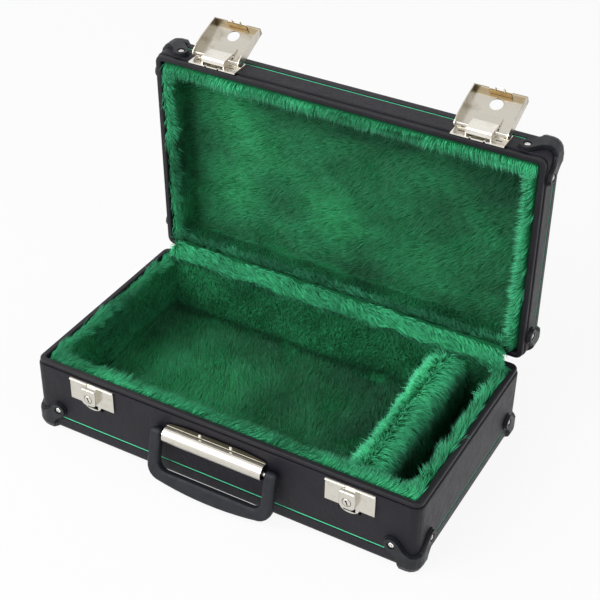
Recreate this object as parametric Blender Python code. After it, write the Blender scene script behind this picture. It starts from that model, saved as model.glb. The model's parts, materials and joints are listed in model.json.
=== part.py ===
"""Small hard case for a keyboard instrument, standing open at its rest pose.

The case is two shallow wooden trays hinged along the rear edge: a deep base and a lid. Both
are covered in black leathercloth and lined with fur. X runs to the right, Y to the rear and Z
up. The origin is on the surface that the case stands on, under the middle of the base.
All sizes are in metres.
"""

import math
from dataclasses import dataclass

import bmesh
import bpy
from mathutils import Matrix, Vector

# Clearances
GAP = 0.0003                 # between pieces that touch on the real case
PIN_GAP = 0.0003             # round a pin in its hole
RIM_GAP = 0.0004             # between the two rims when the lid is shut

# The two trays
CASE_WIDTH = 0.400
CASE_DEPTH = 0.222
BASE_HEIGHT = 0.076
LID_HEIGHT = 0.036
WALL = 0.007                 # plywood with its covering
PANEL = 0.0045               # floor board and top board
CORNER_RADIUS = 0.009        # upright corners
EDGE_RADIUS = 0.004          # where the walls turn into the floor or the top
CORNER_STEPS = 4
LID_OPEN = math.radians(88.0)

# Rolled binding on the rims
BINDING_HEIGHT = 0.0046
BINDING_SETBACK = 0.0012     # how far its outer side stands behind the wall
BINDING_ROUND = 0.0014

# Piping cord and its groove
PIPING_RADIUS = 0.0008
PIPING_GROOVE_WIDTH = 0.0024
PIPING_GROOVE_DEPTH = 0.0019
BASE_PIPING_HEIGHT = 0.0146  # above the underside of the base
LID_PIPING_HEIGHT = 0.0113   # below the top of the lid

# Fur lining and divider
LINING_THICKNESS = 0.0078
LINING_CORNER = 0.010
LINING_FILLET = 0.0060       # where the fur turns from the walls into the floor
LINING_BELOW_RIM = 0.0012
DIVIDER_FROM_SIDE = 0.0665   # middle of the divider to the right side of the case
DIVIDER_BOARD = 0.011
DIVIDER_FUR = 0.0105
DIVIDER_BELOW_RIM = 0.0105
DIVIDER_CROWN = 0.0020
DIVIDER_SHOULDER = 0.0080
GUSSET_REACH = 0.0150
GUSSET_THICKNESS = 0.0042
GUSSET_CORNER = 0.0028       # drawn in behind, past the hinges' knuckles

# Corner protectors, measured along each face from the corner of the case
PROTECTOR_BODY = 0.0036
PROTECTOR_SKIRT = 0.0014
PROTECTOR_SKIRT_WIDTH = 0.0013
PROTECTOR_RIVET = 0.0236
PROTECTOR_LOBE = 0.0085
PROTECTOR_NECK = 0.0168
PROTECTOR_DEPTH = 0.0065     # how far in from each face the lobes' outlines are cut
PROTECTOR_NECK_EASE = 0.0065
PROTECTOR_LOBE_EASE = 0.0080
PROTECTOR_STEPS = 4
FOOT_DROP = PROTECTOR_BODY   # the protectors are the feet

# Rivets
RIVET_HEAD = 0.0031
RIVET_RISE = 0.0015
FLUSH_RIVET_RISE = 0.0007    # under the case, behind the plane of the feet
RIVET_SEAT = 0.0017          # depth of the round recess that the head lies in
RIVET_PLAY = 0.0007          # between the head and the side of its recess
RIVET_SHANK = 0.0014
RIVET_BITE = 0.0038          # how far the shank reaches into the board
RIVET_SINK = 0.0002          # how far a head that is one with its plate goes into it
SMALL_RIVET_HEAD = 0.0019
SMALL_RIVET_RISE = 0.0011
SMALL_RIVET_SHANK = 0.0010

# Locks on the base and latches on the lid
LATCH_FROM_SIDE = 0.0652     # middle of a latch to the side of the case
SHEET = 0.0013               # pressed nickel plate
LOCK_WIDTH = 0.0482
LOCK_BELOW_RIM = 0.0052
LOCK_HEIGHT = 0.0238
LOCK_APRON_WIDTH = 0.0190
LOCK_APRON_DROP = 0.0062
LOCK_BEAD_HEIGHT = 0.0023
LOCK_BEAD_RISE = 0.0013
LOCK_NOTCH_WIDTH = 0.0094
BOSS_WIDTH = 0.0158
BOSS_RISE = 0.0062           # above the face of the plate
BOSS_HEIGHT = 0.0187
BOSS_SHEET = 0.0011
BOSS_EDGE = 0.0014           # rounding of the pressed edge
BOSS_SHOULDER = 0.0018       # upper corners
BOSS_CHIN = 0.0046           # lower corners
BOSS_NICK_X = 0.0025
BOSS_NICK = (0.0009, 0.0011)
SLOT_WIDTH = 0.0120
SLOT_HEIGHT = 0.0046
KEY_PLUG_RADIUS = 0.0042
KEY_PLUG_RISE = 0.0004
KEY_PLUG_DROP = 0.0128       # below the top of the plate
KEY_SLOT_ANGLE = math.radians(24.0)
BOLT_WIDTH = 0.0064
BOLT_THICKNESS = 0.0012
BOLT_HEIGHT = 0.0125
BOLT_ABOVE_SLOT = 0.0006     # lower end of the drawn bolt over the slot
BOLT_TRAVEL = 0.0045
POCKET_WIDTH = 0.0220
POCKET_DEPTH = 0.0054
POCKET_PLAY = 0.0012

LATCH_PLATE_WIDTH = 0.0506
LATCH_PLATE_HEIGHT = 0.0212
LATCH_SLOT = (0.0060, 0.0016)
LATCH_RIVET_X = 0.0203
LATCH_RIVET_HEIGHT = 0.0160
BLOCK_WIDTH = 0.0244
BLOCK_SHEET = 0.0010
PIVOT_HEIGHT = 0.0100        # flap pin above the lid's rim
PIVOT_OUT = 0.0070           # flap pin in front of the lid's wall
PIN_RADIUS = 0.0010
FLAP_WIDTH = 0.0508
FLAP_SHEET = 0.0010
FLAP_LENGTH = 0.0430         # from the pin to the free end
FLAP_DEPTH = 0.0050          # from the pin to the inside of its sheet
FLAP_MOUTH = 0.0078          # opening in the sheet that clears the block as the flap folds back
FLAP_HOLE_RADIUS = 0.0062
FLAP_HOLE_AT = 0.0315
FLAP_SHUT = math.radians(6.0)
FLAP_OPEN = math.radians(-155.0)
CATCH_WIDTH = 0.0212
CATCH_THICKNESS = 0.0016
CATCH_TRAVEL = 0.0015
STAPLE_WIDTH = 0.0088
STAPLE_WIRE = 0.0008
STAPLE_RISE = 0.0052

# Handle
HANDLE_WIDTH = 0.1312
HANDLE_ARM = 0.0114
HANDLE_THICKNESS = 0.0090
HANDLE_DROP = 0.0524         # from the axle to the lowest edge, at the middle
HANDLE_BOW = 0.0044          # how much less it is at the corners
HANDLE_GRIP = 0.0162         # height of the grip at the middle
HANDLE_OUTER_RADIUS = 0.0150
HANDLE_INNER_RADIUS = 0.0085
HANDLE_EDGE = 0.0029
HANDLE_PIVOT_HEIGHT = 0.0505
HANDLE_PIVOT_OUT = 0.0056
HANDLE_LEAN = math.radians(12.6)
AXLE_RADIUS = 0.0021
COVER_LENGTH = 0.1030
COVER_RADIUS = 0.0080
COVER_SHEET = 0.0012
COVER_SETBACK = 0.0020       # the tube's middle line behind the axle
COVER_FLANGE = 0.0054        # in the middle, where the rivets are
COVER_FLANGE_END = 0.0024
COVER_FLANGE_FLAT = 0.0290   # half length of the flange at its full height
COVER_RIVET_X = 0.0162

# Hinges
HINGE_FROM_SIDE = 0.080      # middle of a hinge to the side of the case
HINGE_WIDTH = 0.042
HINGE_LEAF = 0.021
HINGE_SHEET = 0.0013
HINGE_OUT = 0.0018           # axis behind the rear wall
BARREL_RADIUS = 0.0024
HINGE_PIN = 0.0012
KNUCKLES = 5

FRONT = -CASE_DEPTH / 2
REAR = CASE_DEPTH / 2
BASE_RIM = FOOT_DROP + BASE_HEIGHT
LID_RIM = BASE_RIM + RIM_GAP
HINGE_HEIGHT = BASE_RIM + RIM_GAP / 2
LATCH_X = CASE_WIDTH / 2 - LATCH_FROM_SIDE
HINGE_X = CASE_WIDTH / 2 - HINGE_FROM_SIDE
DIVIDER_CENTRE = CASE_WIDTH / 2 - DIVIDER_FROM_SIDE


@dataclass(frozen=True)
class Tray:
    """One half of the case, measured from its closed side towards its rim."""

    name: str
    height: float
    closed_side: float
    towards_rim: int
    piping: float

    def z(self, rise: float) -> float:
        """World height of a point that far from the closed side."""
        return self.closed_side + self.towards_rim * rise


BASE = Tray("base", BASE_HEIGHT, FOOT_DROP, 1, BASE_PIPING_HEIGHT)
LID = Tray("lid", LID_HEIGHT, LID_RIM + LID_HEIGHT, -1, LID_PIPING_HEIGHT)


# Materials

def make_material(name, colour, roughness, metallic=0.0):
    material = bpy.data.materials.new(name)
    material.use_nodes = True
    shader = material.node_tree.nodes["Principled BSDF"]
    shader.inputs["Base Color"].default_value = (*colour, 1.0)
    shader.inputs["Roughness"].default_value = roughness
    shader.inputs["Metallic"].default_value = metallic
    material.diffuse_color = (*colour, 1.0)
    return material


def make_materials():
    return {
        "leathercloth": make_material("leathercloth", (0.030, 0.029, 0.032), 0.55),
        "binding": make_material("binding", (0.036, 0.034, 0.037), 0.45),
        "piping": make_material("piping", (0.055, 0.42, 0.22), 0.6),
        "fur": make_material("fur", (0.030, 0.20, 0.095), 0.9),
        "plastic": make_material("plastic", (0.030, 0.033, 0.037), 0.42),
        "nickel": make_material("nickel", (0.80, 0.77, 0.72), 0.22, 1.0),
        "brass": make_material("brass", (0.42, 0.30, 0.14), 0.35, 1.0),
        "steel": make_material("steel", (0.48, 0.47, 0.46), 0.35, 1.0),
        "plywood": make_material("plywood", (0.42, 0.29, 0.17), 0.7),
    }


# Mesh helpers

def to_object(name, bm, smooth=35.0):
    """Close the bmesh into an object with its faces pointing outwards."""
    bmesh.ops.recalc_face_normals(bm, faces=bm.faces)
    mesh = bpy.data.meshes.new(name)
    bm.to_mesh(mesh)
    bm.free()
    mesh.shade_smooth()
    mesh.set_sharp_from_angle(angle=math.radians(smooth))
    item = bpy.data.objects.new(name, mesh)
    bpy.context.collection.objects.link(item)
    return item


def combine(target, tool, operation):
    """Apply one exact Boolean to the target and remove the tool."""
    modifier = target.modifiers.new("cut", "BOOLEAN")
    modifier.operation = operation
    modifier.solver = "EXACT"
    modifier.object = tool
    depsgraph = bpy.context.evaluated_depsgraph_get()
    result = bpy.data.meshes.new_from_object(target.evaluated_get(depsgraph))
    target.modifiers.clear()
    old = target.data
    target.data = result
    bpy.data.meshes.remove(old)
    remove(tool)
    return target


def remove(item):
    mesh = item.data
    bpy.data.objects.remove(item)
    bpy.data.meshes.remove(mesh)


def cut(target, *tools):
    for tool in tools:
        combine(target, tool, "DIFFERENCE")
    return target


def join(target, *tools):
    for tool in tools:
        combine(target, tool, "UNION")
    return target


def add_solid(bm, loops, ring=False):
    """Bridge a stack of loops, and cap its two ends unless it is a ring."""
    rows = [[bm.verts.new(point) for point in loop] for loop in loops]
    count = len(rows[0])
    pairs = list(zip(rows, rows[1:]))
    if ring:
        pairs.append((rows[-1], rows[0]))
    else:
        bm.faces.new(rows[0])
        bm.faces.new(rows[-1])
    for lower, upper in pairs:
        for i in range(count):
            j = (i + 1) % count
            bm.faces.new((lower[i], lower[j], upper[j], upper[i]))


def loft(name, loops, ring=False, smooth=35.0):
    bm = bmesh.new()
    add_solid(bm, loops, ring)
    return to_object(name, bm, smooth)


def arc(centre, radius, start, end, steps):
    """Points along a circular arc in a plane, with both ends."""
    points = []
    for i in range(steps + 1):
        angle = math.radians(start + (end - start) * i / steps)
        points.append((centre[0] + radius * math.cos(angle), centre[1] + radius * math.sin(angle)))
    return points


def rounded_outline(width, depth, radius, steps=CORNER_STEPS):
    """Anticlockwise rectangle with round corners, centred on zero."""
    points = []
    for quarter, (sx, sy) in enumerate([(1, 1), (-1, 1), (-1, -1), (1, -1)]):
        centre = (sx * (width / 2 - radius), sy * (depth / 2 - radius))
        points += arc(centre, radius, 90 * quarter, 90 * quarter + 90, steps)
    return points


def case_loop(inset, z, radius=None, grow=0.0, steps=CORNER_STEPS):
    """The case's outline, drawn in by the inset, at one height."""
    if radius is None:
        radius = max(CORNER_RADIUS - inset, 0.0012)
    outline = rounded_outline(CASE_WIDTH - 2 * inset + 2 * grow, CASE_DEPTH - 2 * inset + 2 * grow,
                              radius + grow, steps)
    return [(x, y, z) for x, y in outline]


def prism(name, outline, frame, start, end, smooth=35.0):
    """Extrude a flat outline; frame maps (u, v, w) to a point, w is the extrusion."""
    loops = [[frame(u, v, w) for u, v in outline] for w in (start, end)]
    return loft(name, loops, smooth=smooth)


def box(name, x, y, z):
    """A block between pairs of limits along each axis."""
    outline = [(x[0], y[0]), (x[1], y[0]), (x[1], y[1]), (x[0], y[1])]
    return prism(name, outline, lambda u, v, w: (u, v, w), z[0], z[1])


def add_turned(bm, profile, place, steps=10):
    """Turn a profile of (radius, height) round the local Z axis of the place matrix."""
    loops = []
    for radius, height in profile:
        loop = []
        for i in range(steps):
            angle = 2 * math.pi * i / steps
            loop.append(place @ Vector((radius * math.cos(angle), radius * math.sin(angle), height)))
        loops.append(loop)
    add_solid(bm, loops)


def turned(name, profile, place, steps=10):
    bm = bmesh.new()
    add_turned(bm, profile, place, steps)
    return to_object(name, bm, 40.0)


def pointing(location, direction):
    """A matrix at the location whose Z axis runs along the direction."""
    turn = Vector((0.0, 0.0, 1.0)).rotation_difference(Vector(direction)).to_matrix().to_4x4()
    return Matrix.Translation(Vector(location)) @ turn


def rod(name, start, end, radius, steps=12):
    """A plain round rod between two points."""
    start, end = Vector(start), Vector(end)
    length = (end - start).length
    return turned(name, [(radius, 0.0), (radius, length)], pointing(start, end - start), steps)


def rod_group(name, spots, radius, outside, inside, steps=6):
    """Several rods as one cutter: each spot is a surface point and its outward direction."""
    bm = bmesh.new()
    for point, direction in spots:
        add_turned(bm, [(radius, -inside), (radius, outside)], pointing(point, direction), steps)
    return to_object(name, bm)


def rivet(name, point, direction, seat, head, rise, shank, steps=8):
    """Domed rivet; the flat underside of its head lies that far out from the board."""
    profile = [
        (shank, -RIVET_BITE),
        (shank, seat),
        (head, seat),
        (head * 0.90, seat + rise * 0.55),
        (head * 0.45, seat + rise),
    ]
    return turned(name, profile, pointing(point, direction), steps)


def mirrored(name, source, centre, flips):
    """A copy of a mesh, mirrored about a point along some axes."""
    matrix = Matrix.Translation(centre) @ Matrix.Diagonal((*flips, 1.0)) @ Matrix.Translation(-Vector(centre))
    mesh = source.data.copy()
    mesh.transform(matrix)
    if flips[0] * flips[1] * flips[2] < 0:
        mesh.flip_normals()
    item = bpy.data.objects.new(name, mesh)
    bpy.context.collection.objects.link(item)
    return item


# Assembly helpers

def pivot(name, location, parent=None):
    empty = bpy.data.objects.new(name, None)
    empty.empty_display_size = 0.01
    bpy.context.collection.objects.link(empty)
    empty.location = location
    if parent is not None:
        bpy.context.view_layer.update()
        empty.parent = parent
        empty.matrix_parent_inverse = parent.matrix_world.inverted()
    bpy.context.view_layer.update()
    return empty


def attach(item, material, parent):
    """Give an object its material, and hang it on the pivot that carries it."""
    item.data.materials.clear()
    item.data.materials.append(material)
    item.parent = parent
    item.matrix_parent_inverse = parent.matrix_world.inverted()
    return item


def centre_over_origin(root):
    """Slide the whole case along Y until its overall depth is centred on the origin."""
    bpy.context.view_layer.update()
    depths = [(item.matrix_world @ vertex.co).y
              for item in bpy.data.objects if item.type == "MESH" for vertex in item.data.vertices]
    root.location.y -= (min(depths) + max(depths)) / 2


def sides(offset):
    """The two places of a fitting that the case has on its left and on its right."""
    return (("left", -offset), ("right", offset))


# The trays

def frame_section(tray):
    """Outline of a wall as (inset, rise), from its inner foot round the outside to the rim."""
    half_groove = PIPING_GROOVE_WIDTH / 2
    top = tray.height - BINDING_HEIGHT - GAP
    outer_foot = arc((EDGE_RADIUS, EDGE_RADIUS), EDGE_RADIUS, 270, 180, 3)
    shoulder = arc((0.0012, top - 0.0012), 0.0012, 180, 90, 2)
    return (
        [(WALL, 0.0)]
        + outer_foot
        + [
            (0.0, tray.piping - half_groove),
            (PIPING_GROOVE_DEPTH, tray.piping - half_groove),
            (PIPING_GROOVE_DEPTH, tray.piping + half_groove),
            (0.0, tray.piping + half_groove),
        ]
        + shoulder
        + [(WALL, top)]
    )


def build_frame(tray):
    loops = [case_loop(inset, tray.z(rise)) for inset, rise in frame_section(tray)]
    return loft(tray.name + "_frame", loops, ring=True)


def build_panel(tray, name):
    """Floor or top board, let in between the walls and flush with them."""
    inset = WALL + GAP
    loops = [case_loop(inset, tray.z(rise)) for rise in (0.0, PANEL)]
    return loft(name, loops)


def build_binding(tray):
    bottom = tray.height - BINDING_HEIGHT
    outer, inner, r = BINDING_SETBACK, WALL, BINDING_ROUND
    section = (
        arc((outer + 0.0009, bottom + 0.0009), 0.0009, 270, 180, 1)
        + arc((outer + r, tray.height - r), r, 180, 90, 3)
        + arc((inner - r, tray.height - r), r, 90, 0, 2)
        + [(inner, bottom)]
    )
    loops = [case_loop(inset, tray.z(rise)) for inset, rise in section]
    return loft(tray.name + "_rim_binding", loops, ring=True, smooth=50.0)


def build_piping(tray):
    centre = (PIPING_GROOVE_DEPTH - PIPING_RADIUS - GAP / 2, tray.piping)
    section = arc(centre, PIPING_RADIUS, 0, 300, 5)
    loops = [case_loop(inset, tray.z(rise)) for inset, rise in section]
    return loft(tray.name + "_piping", loops, ring=True, smooth=80.0)


def build_lining(tray):
    """Soft tray of fur: walls, floor and a rounded top edge."""
    outer = WALL + GAP
    inner = outer + LINING_THICKNESS
    bed = PANEL + GAP
    top = tray.height - LINING_BELOW_RIM
    roll = LINING_THICKNESS / 2
    outer_radius = max(CORNER_RADIUS - outer, 0.0012)
    stations = [(outer, bed, outer_radius)]
    for inset, rise in arc((outer + roll, top - roll), roll, 180, 0, 6):
        share = (inset - outer) / LINING_THICKNESS
        stations.append((inset, rise, outer_radius + share * (LINING_CORNER - outer_radius)))
    fillet = LINING_FILLET
    for inset, rise in arc((inner + fillet, bed + LINING_THICKNESS + fillet), fillet, 180, 270, 3):
        stations.append((inset, rise, LINING_CORNER))
    loops = [case_loop(inset, tray.z(rise), radius) for inset, rise, radius in stations]
    return loft(tray.name + "_lining", loops, smooth=60.0)


# Corner protectors

def lobe_outline(trim):
    """Outline of one face's lobe, as distances from the corner, drawn in by the trim."""
    radius = PROTECTOR_LOBE - trim
    neck = PROTECTOR_NECK - trim
    outside = -2 * PROTECTOR_BODY
    centre = (PROTECTOR_RIVET, PROTECTOR_RIVET)
    lobe = arc(centre, radius, -60, 150, 7)
    start, end = Vector((neck, 0.0)), Vector(lobe[0])
    handle_a = start + Vector((0.0, PROTECTOR_NECK_EASE))
    handle_b = end - Vector((math.sin(math.radians(60)), math.cos(math.radians(60)))) * PROTECTOR_LOBE_EASE
    flank = []
    for i in range(3):
        t = i / 3
        point = ((1 - t) ** 3 * start + 3 * (1 - t) ** 2 * t * handle_a
                 + 3 * (1 - t) * t ** 2 * handle_b + t ** 3 * end)
        flank.append((point.x, point.y))
    back = [(v, u) for u, v in reversed(flank)]
    return [(outside, outside), (neck, outside)] + flank + lobe + back + [(outside, neck)]


def lobes(trim):
    """The three lobes' reach at the front right corner of the base, as one solid."""
    right, front, floor = CASE_WIDTH / 2, FRONT, BASE.closed_side
    outline = lobe_outline(trim)
    outside, inside = -2 * PROTECTOR_BODY, PROTECTOR_DEPTH
    on_front = prism("lobe", outline, lambda u, v, w: (right - u, front + w, floor + v), outside, inside)
    on_side = prism("lobe", outline, lambda u, v, w: (right - w, front + u, floor + v), outside, inside)
    on_floor = prism("lobe", outline, lambda u, v, w: (right - u, front + v, floor + w), outside, inside)
    return join(on_front, on_side, on_floor)


def case_block(name, grow):
    """The base's outer form, grown by a thickness, up to a height clear of the lobes."""
    floor = BASE.closed_side
    height = PROTECTOR_RIVET + 2 * PROTECTOR_LOBE
    loops = []
    for inset, rise in arc((EDGE_RADIUS, EDGE_RADIUS), EDGE_RADIUS + grow, 270, 180, 2):
        base_inset = max(inset + grow, 0.0)
        loops.append(case_loop(base_inset, floor + rise, None, grow, PROTECTOR_STEPS))
    loops.append(case_loop(0.0, floor + height, None, grow, PROTECTOR_STEPS))
    return loft(name, loops)


def protector_spots(grow=0.0):
    """Rivet places on the front right corner of the base, each with its outward direction."""
    right, floor, at = CASE_WIDTH / 2, BASE.closed_side, PROTECTOR_RIVET
    return [
        ((right - at, FRONT - grow, floor + at), (0, -1, 0)),
        ((right + grow, FRONT + at, floor + at), (1, 0, 0)),
        ((right - at, FRONT + at, floor - grow), (0, 0, -1)),
    ]


def build_protector():
    """Moulded corner cap: a raised body inside a thinner skirt, on three faces."""
    body = combine(case_block("protector", PROTECTOR_BODY), lobes(PROTECTOR_SKIRT_WIDTH), "INTERSECT")
    skirt = combine(case_block("skirt", PROTECTOR_SKIRT), lobes(0.0), "INTERSECT")
    join(body, skirt)
    cut(body, case_block("bed", GAP))
    recess = RIVET_HEAD + RIVET_PLAY
    seats = rod_group("seats", protector_spots(PROTECTOR_BODY), recess, 0.002, RIVET_SEAT, 12)
    cut(body, seats)
    for index, (point, direction) in enumerate(protector_spots()):
        rise = FLUSH_RIVET_RISE if index == 2 else RIVET_RISE
        seat = PROTECTOR_BODY - RIVET_SEAT
        join(body, rivet("rivet", point, direction, seat - RIVET_SINK, RIVET_HEAD, rise + RIVET_SINK,
                         RIVET_SHANK))
    return body


CORNERS = {
    "front_right": (1, 1),
    "front_left": (-1, 1),
    "rear_right": (1, -1),
    "rear_left": (-1, -1),
}


def corner_spots(tray, faces):
    """Protector rivets on some faces (0 front or rear, 1 side, 2 floor) of one tray."""
    spots = []
    for sx, sy in CORNERS.values():
        for index, (point, direction) in enumerate(protector_spots()):
            if index not in faces:
                continue
            rise = point[2] - BASE.closed_side
            place = Vector((point[0] * sx, point[1] * sy, tray.z(rise)))
            aim = Vector((direction[0] * sx, direction[1] * sy, direction[2] * tray.towards_rim))
            spots.append((place, aim))
    return spots


def build_corners(tray, master):
    """Four protectors, mirrored from the one at the front right corner of the base."""
    pieces = []
    for corner, (sx, sy) in CORNERS.items():
        copy = mirrored(tray.name + "_corner_" + corner, master, Vector((0, 0, 0)), (sx, sy, 1))
        if tray.towards_rim < 0:
            middle = (BASE.closed_side + LID.closed_side) / 2
            turned_over = mirrored("over", copy, Vector((0, 0, middle)), (1, 1, -1))
            old = copy.data
            copy.data = turned_over.data
            bpy.data.objects.remove(turned_over)
            bpy.data.meshes.remove(old)
        pieces.append(copy)
    return pieces


def shank_holes(spots, shank):
    """Cutter for blind holes in a board, one for each rivet."""
    return rod_group("holes", spots, shank + PIN_GAP, 0.002, RIVET_BITE + GAP)


def sheet_holes(spots):
    """Cutter for the holes of small rivets through a sheet that lies on a board."""
    return rod_group("holes", spots, SMALL_RIVET_SHANK + PIN_GAP, 0.003, 0.002)


def small_rivet(name, spot, seat, steps=8):
    """Rivet through a thin sheet; the seat is the height of the sheet's face over the board."""
    return rivet(name, *spot, seat, SMALL_RIVET_HEAD, SMALL_RIVET_RISE, SMALL_RIVET_SHANK, steps)


# Locks on the front of the base

PIVOT_Y = FRONT - PIVOT_OUT
PIVOT_Z = LID_RIM + PIVOT_HEIGHT
STAPLE_AT = FLAP_LENGTH - CATCH_THICKNESS / 2
STAPLE_SHUT = PIVOT_Z - STAPLE_AT * math.cos(FLAP_SHUT)
LOCK_TOP = BASE_RIM - LOCK_BELOW_RIM
LOCK_BOTTOM = LOCK_TOP - LOCK_HEIGHT
PLATE_BACK = FRONT - GAP / 2
PLATE_FACE = FRONT - GAP / 2 - SHEET
BOSS_FACE = PLATE_FACE - BOSS_RISE
BOSS_TOP = LOCK_TOP - LOCK_BEAD_HEIGHT
BOSS_BOTTOM = BOSS_TOP - BOSS_HEIGHT
SLOT_TOP = STAPLE_SHUT + (CATCH_TRAVEL + SLOT_HEIGHT) / 2
SLOT_BOTTOM = SLOT_TOP - SLOT_HEIGHT
BOLT_BOTTOM = SLOT_TOP + BOLT_ABOVE_SLOT
KEY_HEIGHT = LOCK_TOP - KEY_PLUG_DROP


def front_frame(centre):
    """Map (across, height, outwards) to the front face, about a place along X."""
    return lambda u, v, w: (centre + u, PLATE_BACK - w, v)


def boss_outline(inset):
    """Front view of the boss as (across, height), drawn in: square shoulders and a round chin."""
    half = BOSS_WIDTH / 2 - inset
    low, high = BOSS_BOTTOM + inset, BOSS_TOP - inset
    chin = max(BOSS_CHIN - inset, GAP)
    shoulder = max(BOSS_SHOULDER - inset, GAP)
    outline = arc((half - shoulder, high - shoulder), shoulder, 0, 90, 2)
    outline += arc((-half + shoulder, high - shoulder), shoulder, 90, 180, 2)
    outline += arc((-half + chin, low + chin), chin, 180, 270, 4)
    return outline + arc((half - chin, low + chin), chin, 270, 360, 4)


def build_lock_plate(name, centre):
    """Pressed plate with a hollow boss, a slot for the staple and a bead along its top."""
    face = front_frame(centre)
    half, apron = LOCK_WIDTH / 2, LOCK_APRON_WIDTH / 2
    low = LOCK_BOTTOM
    outline = [(-half, low), (-apron, low)]
    outline += [(u, low + v) for u, v in
                [(x * apron, y * LOCK_APRON_DROP) for x, y in arc((0, 0), 1.0, 190, 350, 8)]]
    outline += [(apron, low), (half, low), (half, LOCK_TOP), (-half, LOCK_TOP)]
    plate = prism(name, outline, face, 0.0, SHEET)

    rise = SHEET + BOSS_RISE
    stations = [(0.0, SHEET / 2)]
    stations += arc((BOSS_EDGE, rise - BOSS_EDGE), BOSS_EDGE, 180, 90, 3)
    boss = loft("boss", [[face(u, v, out) for u, v in boss_outline(inset)] for inset, out in stations])

    bead_section = [(SHEET / 2, -LOCK_BEAD_HEIGHT), (SHEET, -LOCK_BEAD_HEIGHT)]
    bead_section += arc((SHEET + LOCK_BEAD_RISE / 2, -LOCK_BEAD_HEIGHT / 2), LOCK_BEAD_RISE / 2, -80, 100, 4)
    bead_section += [(SHEET / 2, 0.0)]
    bead = prism("bead", bead_section, lambda u, v, w: face(w, LOCK_TOP + v, u), -half, half)
    join(plate, boss, bead)

    hollow = prism("hollow", boss_outline(BOSS_SHEET), face, -SHEET, rise - BOSS_SHEET)
    slot = box("slot", (centre - SLOT_WIDTH / 2, centre + SLOT_WIDTH / 2),
               (PLATE_BACK + SHEET, PLATE_FACE - SHEET), (SLOT_BOTTOM, SLOT_TOP))
    notch = box("notch", (centre - LOCK_NOTCH_WIDTH / 2, centre + LOCK_NOTCH_WIDTH / 2),
                (PLATE_FACE - 0.0002, PLATE_FACE - 0.006), (BOSS_TOP + 0.0001, LOCK_TOP + 0.002))
    key_hole = rod("key", (centre, BOSS_FACE - 0.003, KEY_HEIGHT), (centre, BOSS_FACE + 0.003, KEY_HEIGHT),
                   KEY_PLUG_RADIUS + PIN_GAP, 20)
    cut(plate, hollow, slot, notch, key_hole)
    width, height = BOSS_NICK
    for side in (-1, 1):
        at = centre + side * BOSS_NICK_X
        cut(plate, box("nick", (at - width / 2, at + width / 2),
                       (BOSS_FACE - BOSS_SHEET, BOSS_FACE + BOSS_SHEET * 0.6),
                       (BOSS_TOP - height, BOSS_TOP + height)))
    return plate


def build_key_plug(name, centre):
    """Round plug with a key slot across its face."""
    depth = BOSS_RISE + SHEET + KEY_PLUG_RISE - 0.0001
    place = pointing((centre, PLATE_BACK - 0.0001, KEY_HEIGHT), (0, -1, 0))
    r = KEY_PLUG_RADIUS
    plug = turned(name, [(r, 0.0), (r, depth - 0.0005), (r - 0.0006, depth)], place, 20)
    slot = box("slot", (-0.0006, 0.0006), (-0.0030, 0.0006), (depth - 0.0028, depth + 0.001))
    slot.data.transform(place @ Matrix.Rotation(KEY_SLOT_ANGLE, 4, "Z"))
    dot = turned("dot", [(0.0010, depth - 0.0028), (0.0010, depth + 0.001)],
                 place @ Matrix.Rotation(KEY_SLOT_ANGLE, 4, "Z") @ Matrix.Translation((0.0, 0.0012, 0.0)), 10)
    return cut(plug, join(slot, dot))


def build_bolt(name, centre):
    """Flat bolt behind the boss, drawn up; it drops through the staple."""
    near = PLATE_BACK + GAP
    return box(name, (centre - BOLT_WIDTH / 2, centre + BOLT_WIDTH / 2),
               (near, near + BOLT_THICKNESS), (BOLT_BOTTOM, BOLT_BOTTOM + BOLT_HEIGHT))


def lock_pocket(centre):
    """Room in the wall for the bolt and the staple."""
    half = POCKET_WIDTH / 2
    low = min(SLOT_BOTTOM, BOLT_BOTTOM - BOLT_TRAVEL) - POCKET_PLAY
    return box("pocket", (centre - half, centre + half), (FRONT - SHEET, FRONT + POCKET_DEPTH),
               (low, BOLT_BOTTOM + BOLT_HEIGHT + POCKET_PLAY))


# Latches on the front of the lid, drawn with the lid shut

def lid_frame_map(centre):
    """Map (across, height above the rim, outwards) to the front of the lid."""
    return lambda u, v, w: (centre + u, FRONT - w, LID_RIM + v)


def build_latch_plate(name, centre):
    face = lid_frame_map(centre)
    half = LATCH_PLATE_WIDTH / 2
    back, front = GAP / 2, GAP / 2 + SHEET
    low, high = -0.0001, LATCH_PLATE_HEIGHT
    outline = [(-half, low), (half, low), (half, high - 0.0008), (half - 0.0008, high),
               (-half + 0.0008, high), (-half, high - 0.0008)]
    plate = prism(name, outline, face, back, front)
    tools = []
    length, width = LATCH_SLOT
    for side in (-1, 1):
        slot_x = centre + side * 0.0176
        tools.append(box("slot", (slot_x - length / 2, slot_x + length / 2), (FRONT + 0.001, FRONT - 0.004),
                         (LID_RIM + 0.0062, LID_RIM + 0.0062 + width)))
        tab_x = centre + side * 0.0068
        tools.append(box("nick", (tab_x - 0.0009, tab_x + 0.0009), (FRONT + 0.001, FRONT - 0.004),
                         (LID_RIM - 0.001, LID_RIM + 0.0018)))
    cut(plate, *tools)
    return cut(plate, sheet_holes(latch_rivet_spots(centre)))


def latch_rivet_spots(centre):
    height = LID_RIM + LATCH_RIVET_HEIGHT
    return [((centre + side * LATCH_RIVET_X, FRONT, height), (0, -1, 0)) for side in (-1, 1)]


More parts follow.
